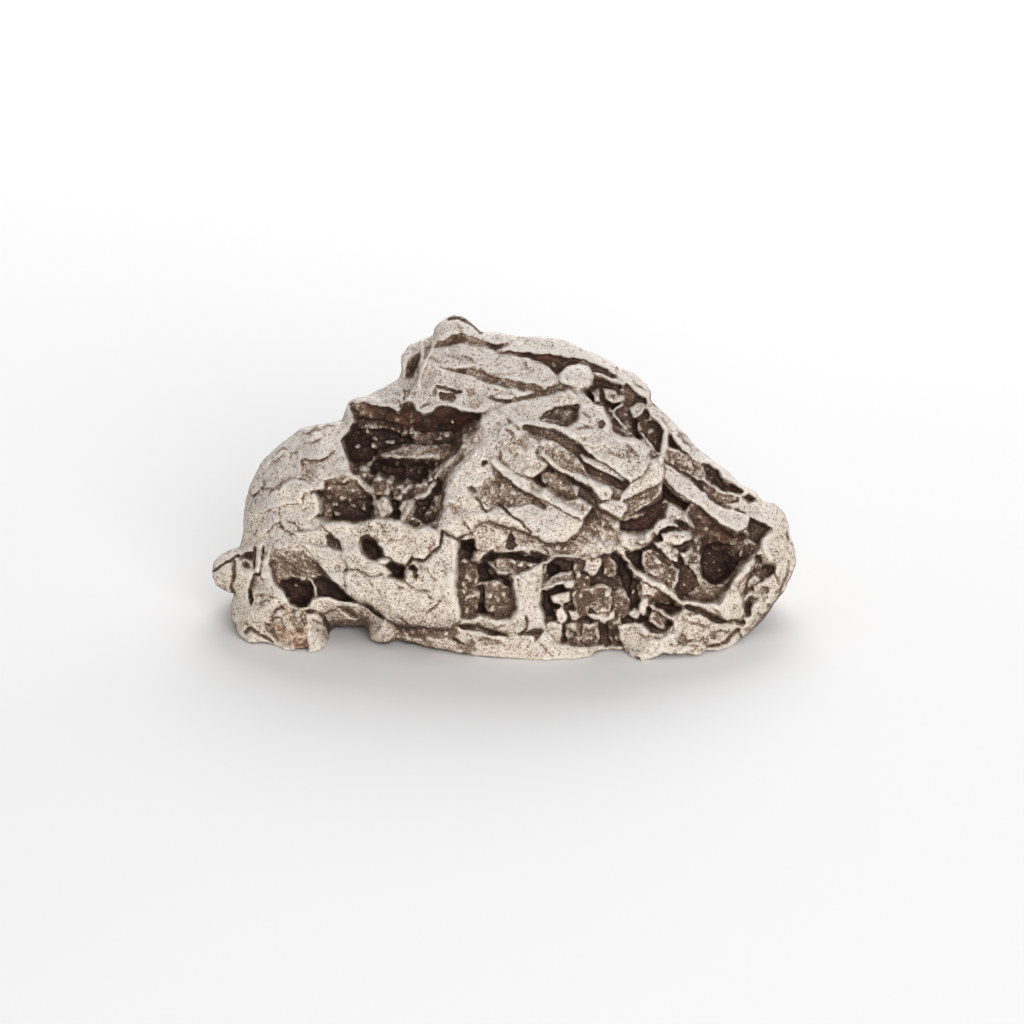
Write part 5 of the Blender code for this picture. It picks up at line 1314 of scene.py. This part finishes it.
def iron_finish():
    """Worn bright iron on what stands out, tan and brown oxide in the nooks, dark brown in the
    caves, partly oxide and partly painted shade, painted shade where the skin faces down, painted
    top light and a painted lavender sky reflection where it faces up, a fine dark and bright grain
    all over, and rust where the chart says."""
    f = Finish("worn_iron")
    p = f.place()
    grime_and_shade = f.attribute("grime_and_shade")
    under = f.attribute("under")
    rust = f.attribute("rust")
    nook = f.attribute("nook")
    hollow = f.attribute("hollow")
    cave = f.attribute("cave")

    broad = f.cloud(p, 3.2, 3.0, 0.55)
    patch = f.cloud(p, 1.1, 4.0, 0.62, 0.4)
    fine = f.cloud(p, 0.36, 4.0, 0.7, 0.3)
    grain = f.luck(p, 0.085)
    coarse = f.luck(p, 0.16)
    high = f.node("ShaderNodeSeparateXYZ", {}, {"Vector": p}, "Z")

    # Where a place lies: each is 1 well inside the kind of place that it is named for.
    in_hollow = f.band(hollow + (patch - 0.5) * 0.3, 0.50, 0.74)
    in_cave = f.band(cave, 0.50, 0.78)
    on_edge = f.band(nook + (fine - 0.5) * 0.2, 0.47, 0.33)
    # how the skin faces, for painted top light on what faces up and painted shade on what faces
    # down
    facing = under + (fine - 0.5) * 0.2
    painted_top_light = f.band(facing, 0.38, 0.10)
    painted_underside_shade = f.band(facing, 0.50, 0.85)

    # What lies on it: dark specks, bright glints, stains, pits, cracks and hair cracks.
    mottle = patch + (fine - 0.5) * 0.6
    speck = f.band(f.luck(p, 0.09), 0.80, 0.88) * f.band(mottle, 0.46, 0.62)
    glint = f.band(grain, 0.15, 0.09) * f.band(fine, 0.44, 0.58)
    stain = f.band(f.cloud(p, 2.2, 4.0, 0.68, 0.5), 0.52, 0.60)
    pitting = f.band(fine, 0.58, 0.68)
    crack = f.seam(f.warp(p, 0.5, 0.5), 1.1, 0.034, 0.010) * f.band(broad, 0.52, 0.62)
    hair = f.seam(f.warp(p, 0.16, 0.22), 0.42, 0.075, 0.02) * f.band(fine, 0.50, 0.64)

    # The tone, from 0 for the darkest oxide to 1 for the brightest iron. The dirt read here holds
    # painted shade as well, so its bands darken shaded places too.
    dirt = grime_and_shade + (fine - 0.5) * 0.5 + (patch - 0.5) * 0.3 + (grain - 0.5) * 0.14
    dirty_and_shaded = f.band(dirt, 0.22, 0.34)
    darkest_dirt_and_shade = f.band(dirt, 0.56, 0.70)
    calm = 1 - dirty_and_shaded * 0.4
    # darker well inside hollows and caves: partly the oxide there, partly painted shade
    tone = 0.83 - grime_and_shade * 0.14 - dirty_and_shaded * 0.27 - darkest_dirt_and_shade * 0.18 - in_hollow * 0.06 - in_cave * 0.18
    # painted top light and painted shade: lighter where the skin faces up, darker where it faces
    # down
    tone = tone + painted_top_light * 0.06 - painted_underside_shade * 0.14
    tone = tone + (broad - 0.5) * 0.3 + (patch - 0.5) * 0.4 + (fine - 0.5) * calm * 0.6
    tone = tone + (grain - 0.5) * calm * 0.55 + (coarse - 0.5) * 0.16 - stain * 0.10
    tone = tone - (speck * 0.34 + hair * 0.2) * calm - pitting * 0.08 - crack * 0.28
    tone = tone + on_edge * (0.24 - darkest_dirt_and_shade * 0.14)
    tone = (tone + glint * (dirty_and_shaded * 0.38 + 0.10)).clamp()

    # The colour of that tone, then cream on the bright iron, a painted lavender sky reflection
    # where it faces up or stands high, and the rust.
    bright = f.mix(f.band(broad + high * 0.02 + painted_top_light * 0.2, 0.60, 0.90), CREAM, LAVENDER_SKY_SHEEN)
    colour = f.mix(f.band(tone, 0.45, 0.80) * 0.6, f.ramp(tone, SHADES), bright)
    redness = (rust * f.band(mottle, 0.40, 0.60)).clamp()
    colour = f.mix(redness * f.band(tone, 0.66, 0.38) * 0.5, colour, RUST)
    ochre = rust * f.band(patch, 0.40, 0.62) * f.band(tone, 0.36, 0.60)
    colour = f.mix(ochre * 0.5, colour, OCHRE)
    colour = f.mix(rust * in_cave * f.band(patch, 0.48, 0.6) * 0.4, colour, DEEP_RED)

    clean = f.band(tone, 0.45, 0.85)
    height = grain * 0.6 + fine * 2.4 - pitting * 0.6 + patch
    inputs = {"Strength": 0.8, "Distance": 0.0001, "Height": height}
    bump = f.node("ShaderNodeBump", {}, inputs, "Normal")
    f.feed(Base_Color=colour, Metallic=clean * 0.35, Roughness=0.72 - clean * 0.16, Normal=bump)
    return f.material


def paper_finish():
    f = Finish("white_paper")
    f.feed(Base_Color=WHITE_PAPER, Roughness=0.9)
    return f.material


# ---------------------------------------------------------------- the set, in metres
FLOOR_HALF = 1.5
LAMP_AIM = (0.0, 0.0, 0.006)
LAMPS = (("back", (0.02, 0.34, 0.26), 0.30, 1.0), ("right", (0.24, 0.30, 0.16), 0.30, 0.36),
         ("front", (0.10, -0.40, 0.14), 0.26, 1.35))    # name, place, width, power
SKY = 0.42
VIEW_STEPS = 1024                   # the view is this many chart steps wide
CAMERA_DISTANCE = 0.5
SENSOR_WIDTH = 36.0                 # millimetres


def put(obj, place, target):
    """Adds a lamp or the camera at a place, looking at its target."""
    bpy.context.scene.collection.objects.link(obj)
    obj.location = place
    obj.rotation_euler = (Vector(target) - Vector(place)).to_track_quat("-Z", "Y").to_euler()


def add_floor():
    points = FLOOR_HALF * np.array([(-1.0, -1, 0), (1, -1, 0), (1, 1, 0), (-1, 1, 0)])
    mesh = mesh_from("floor", points, np.array([[0, 1, 2, 3]]))
    floor = add_piece("floor", mesh, paper_finish())


def add_lamp(name, place, width, power):
    data = bpy.data.lights.new(name, "AREA")
    data.shape = "DISK"
    data.size = width
    data.energy = power
    put(bpy.data.objects.new(name, data), place, LAMP_AIM)


def add_camera():
    """A long lens 20 degrees above the floor, aimed at the middle of the chart's view."""
    middle = VIEW_STEPS // 2
    across, up = (middle - CHART_FOOT[0]) * CHART_STEP, (CHART_FOOT[1] - middle) * CHART_STEP
    target = Vector(to_frame(np.array([[across, up, 0.0]]))[0])
    back = Vector((0, -math.cos(CHART_TILT), math.sin(CHART_TILT)))
    data = bpy.data.cameras.new("camera")
    data.sensor_width = SENSOR_WIDTH
    data.lens = SENSOR_WIDTH * CAMERA_DISTANCE / (VIEW_STEPS * CHART_STEP * MM)
    data.clip_start = 0.01
    data.clip_end = 20.0
    camera = bpy.data.objects.new("camera", data)
    put(camera, target + back * CAMERA_DISTANCE, target)
    bpy.context.scene.camera = camera


def add_set():
    scene = bpy.context.scene
    scene.view_settings.view_transform = "Standard"
    scene.world = bpy.data.worlds.new("studio")
    scene.world.use_nodes = True
    sky = scene.world.node_tree.nodes["Background"]
    sky.inputs["Color"].default_value = WHITE
    sky.inputs["Strength"].default_value = SKY
    add_floor()
    for lamp in LAMPS:
        add_lamp(*lamp)
    add_camera()


lump_piece = add_piece("iron_lump", make_lump(), iron_finish())
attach(lump_piece, "root")
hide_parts("meteorite")
add_set()
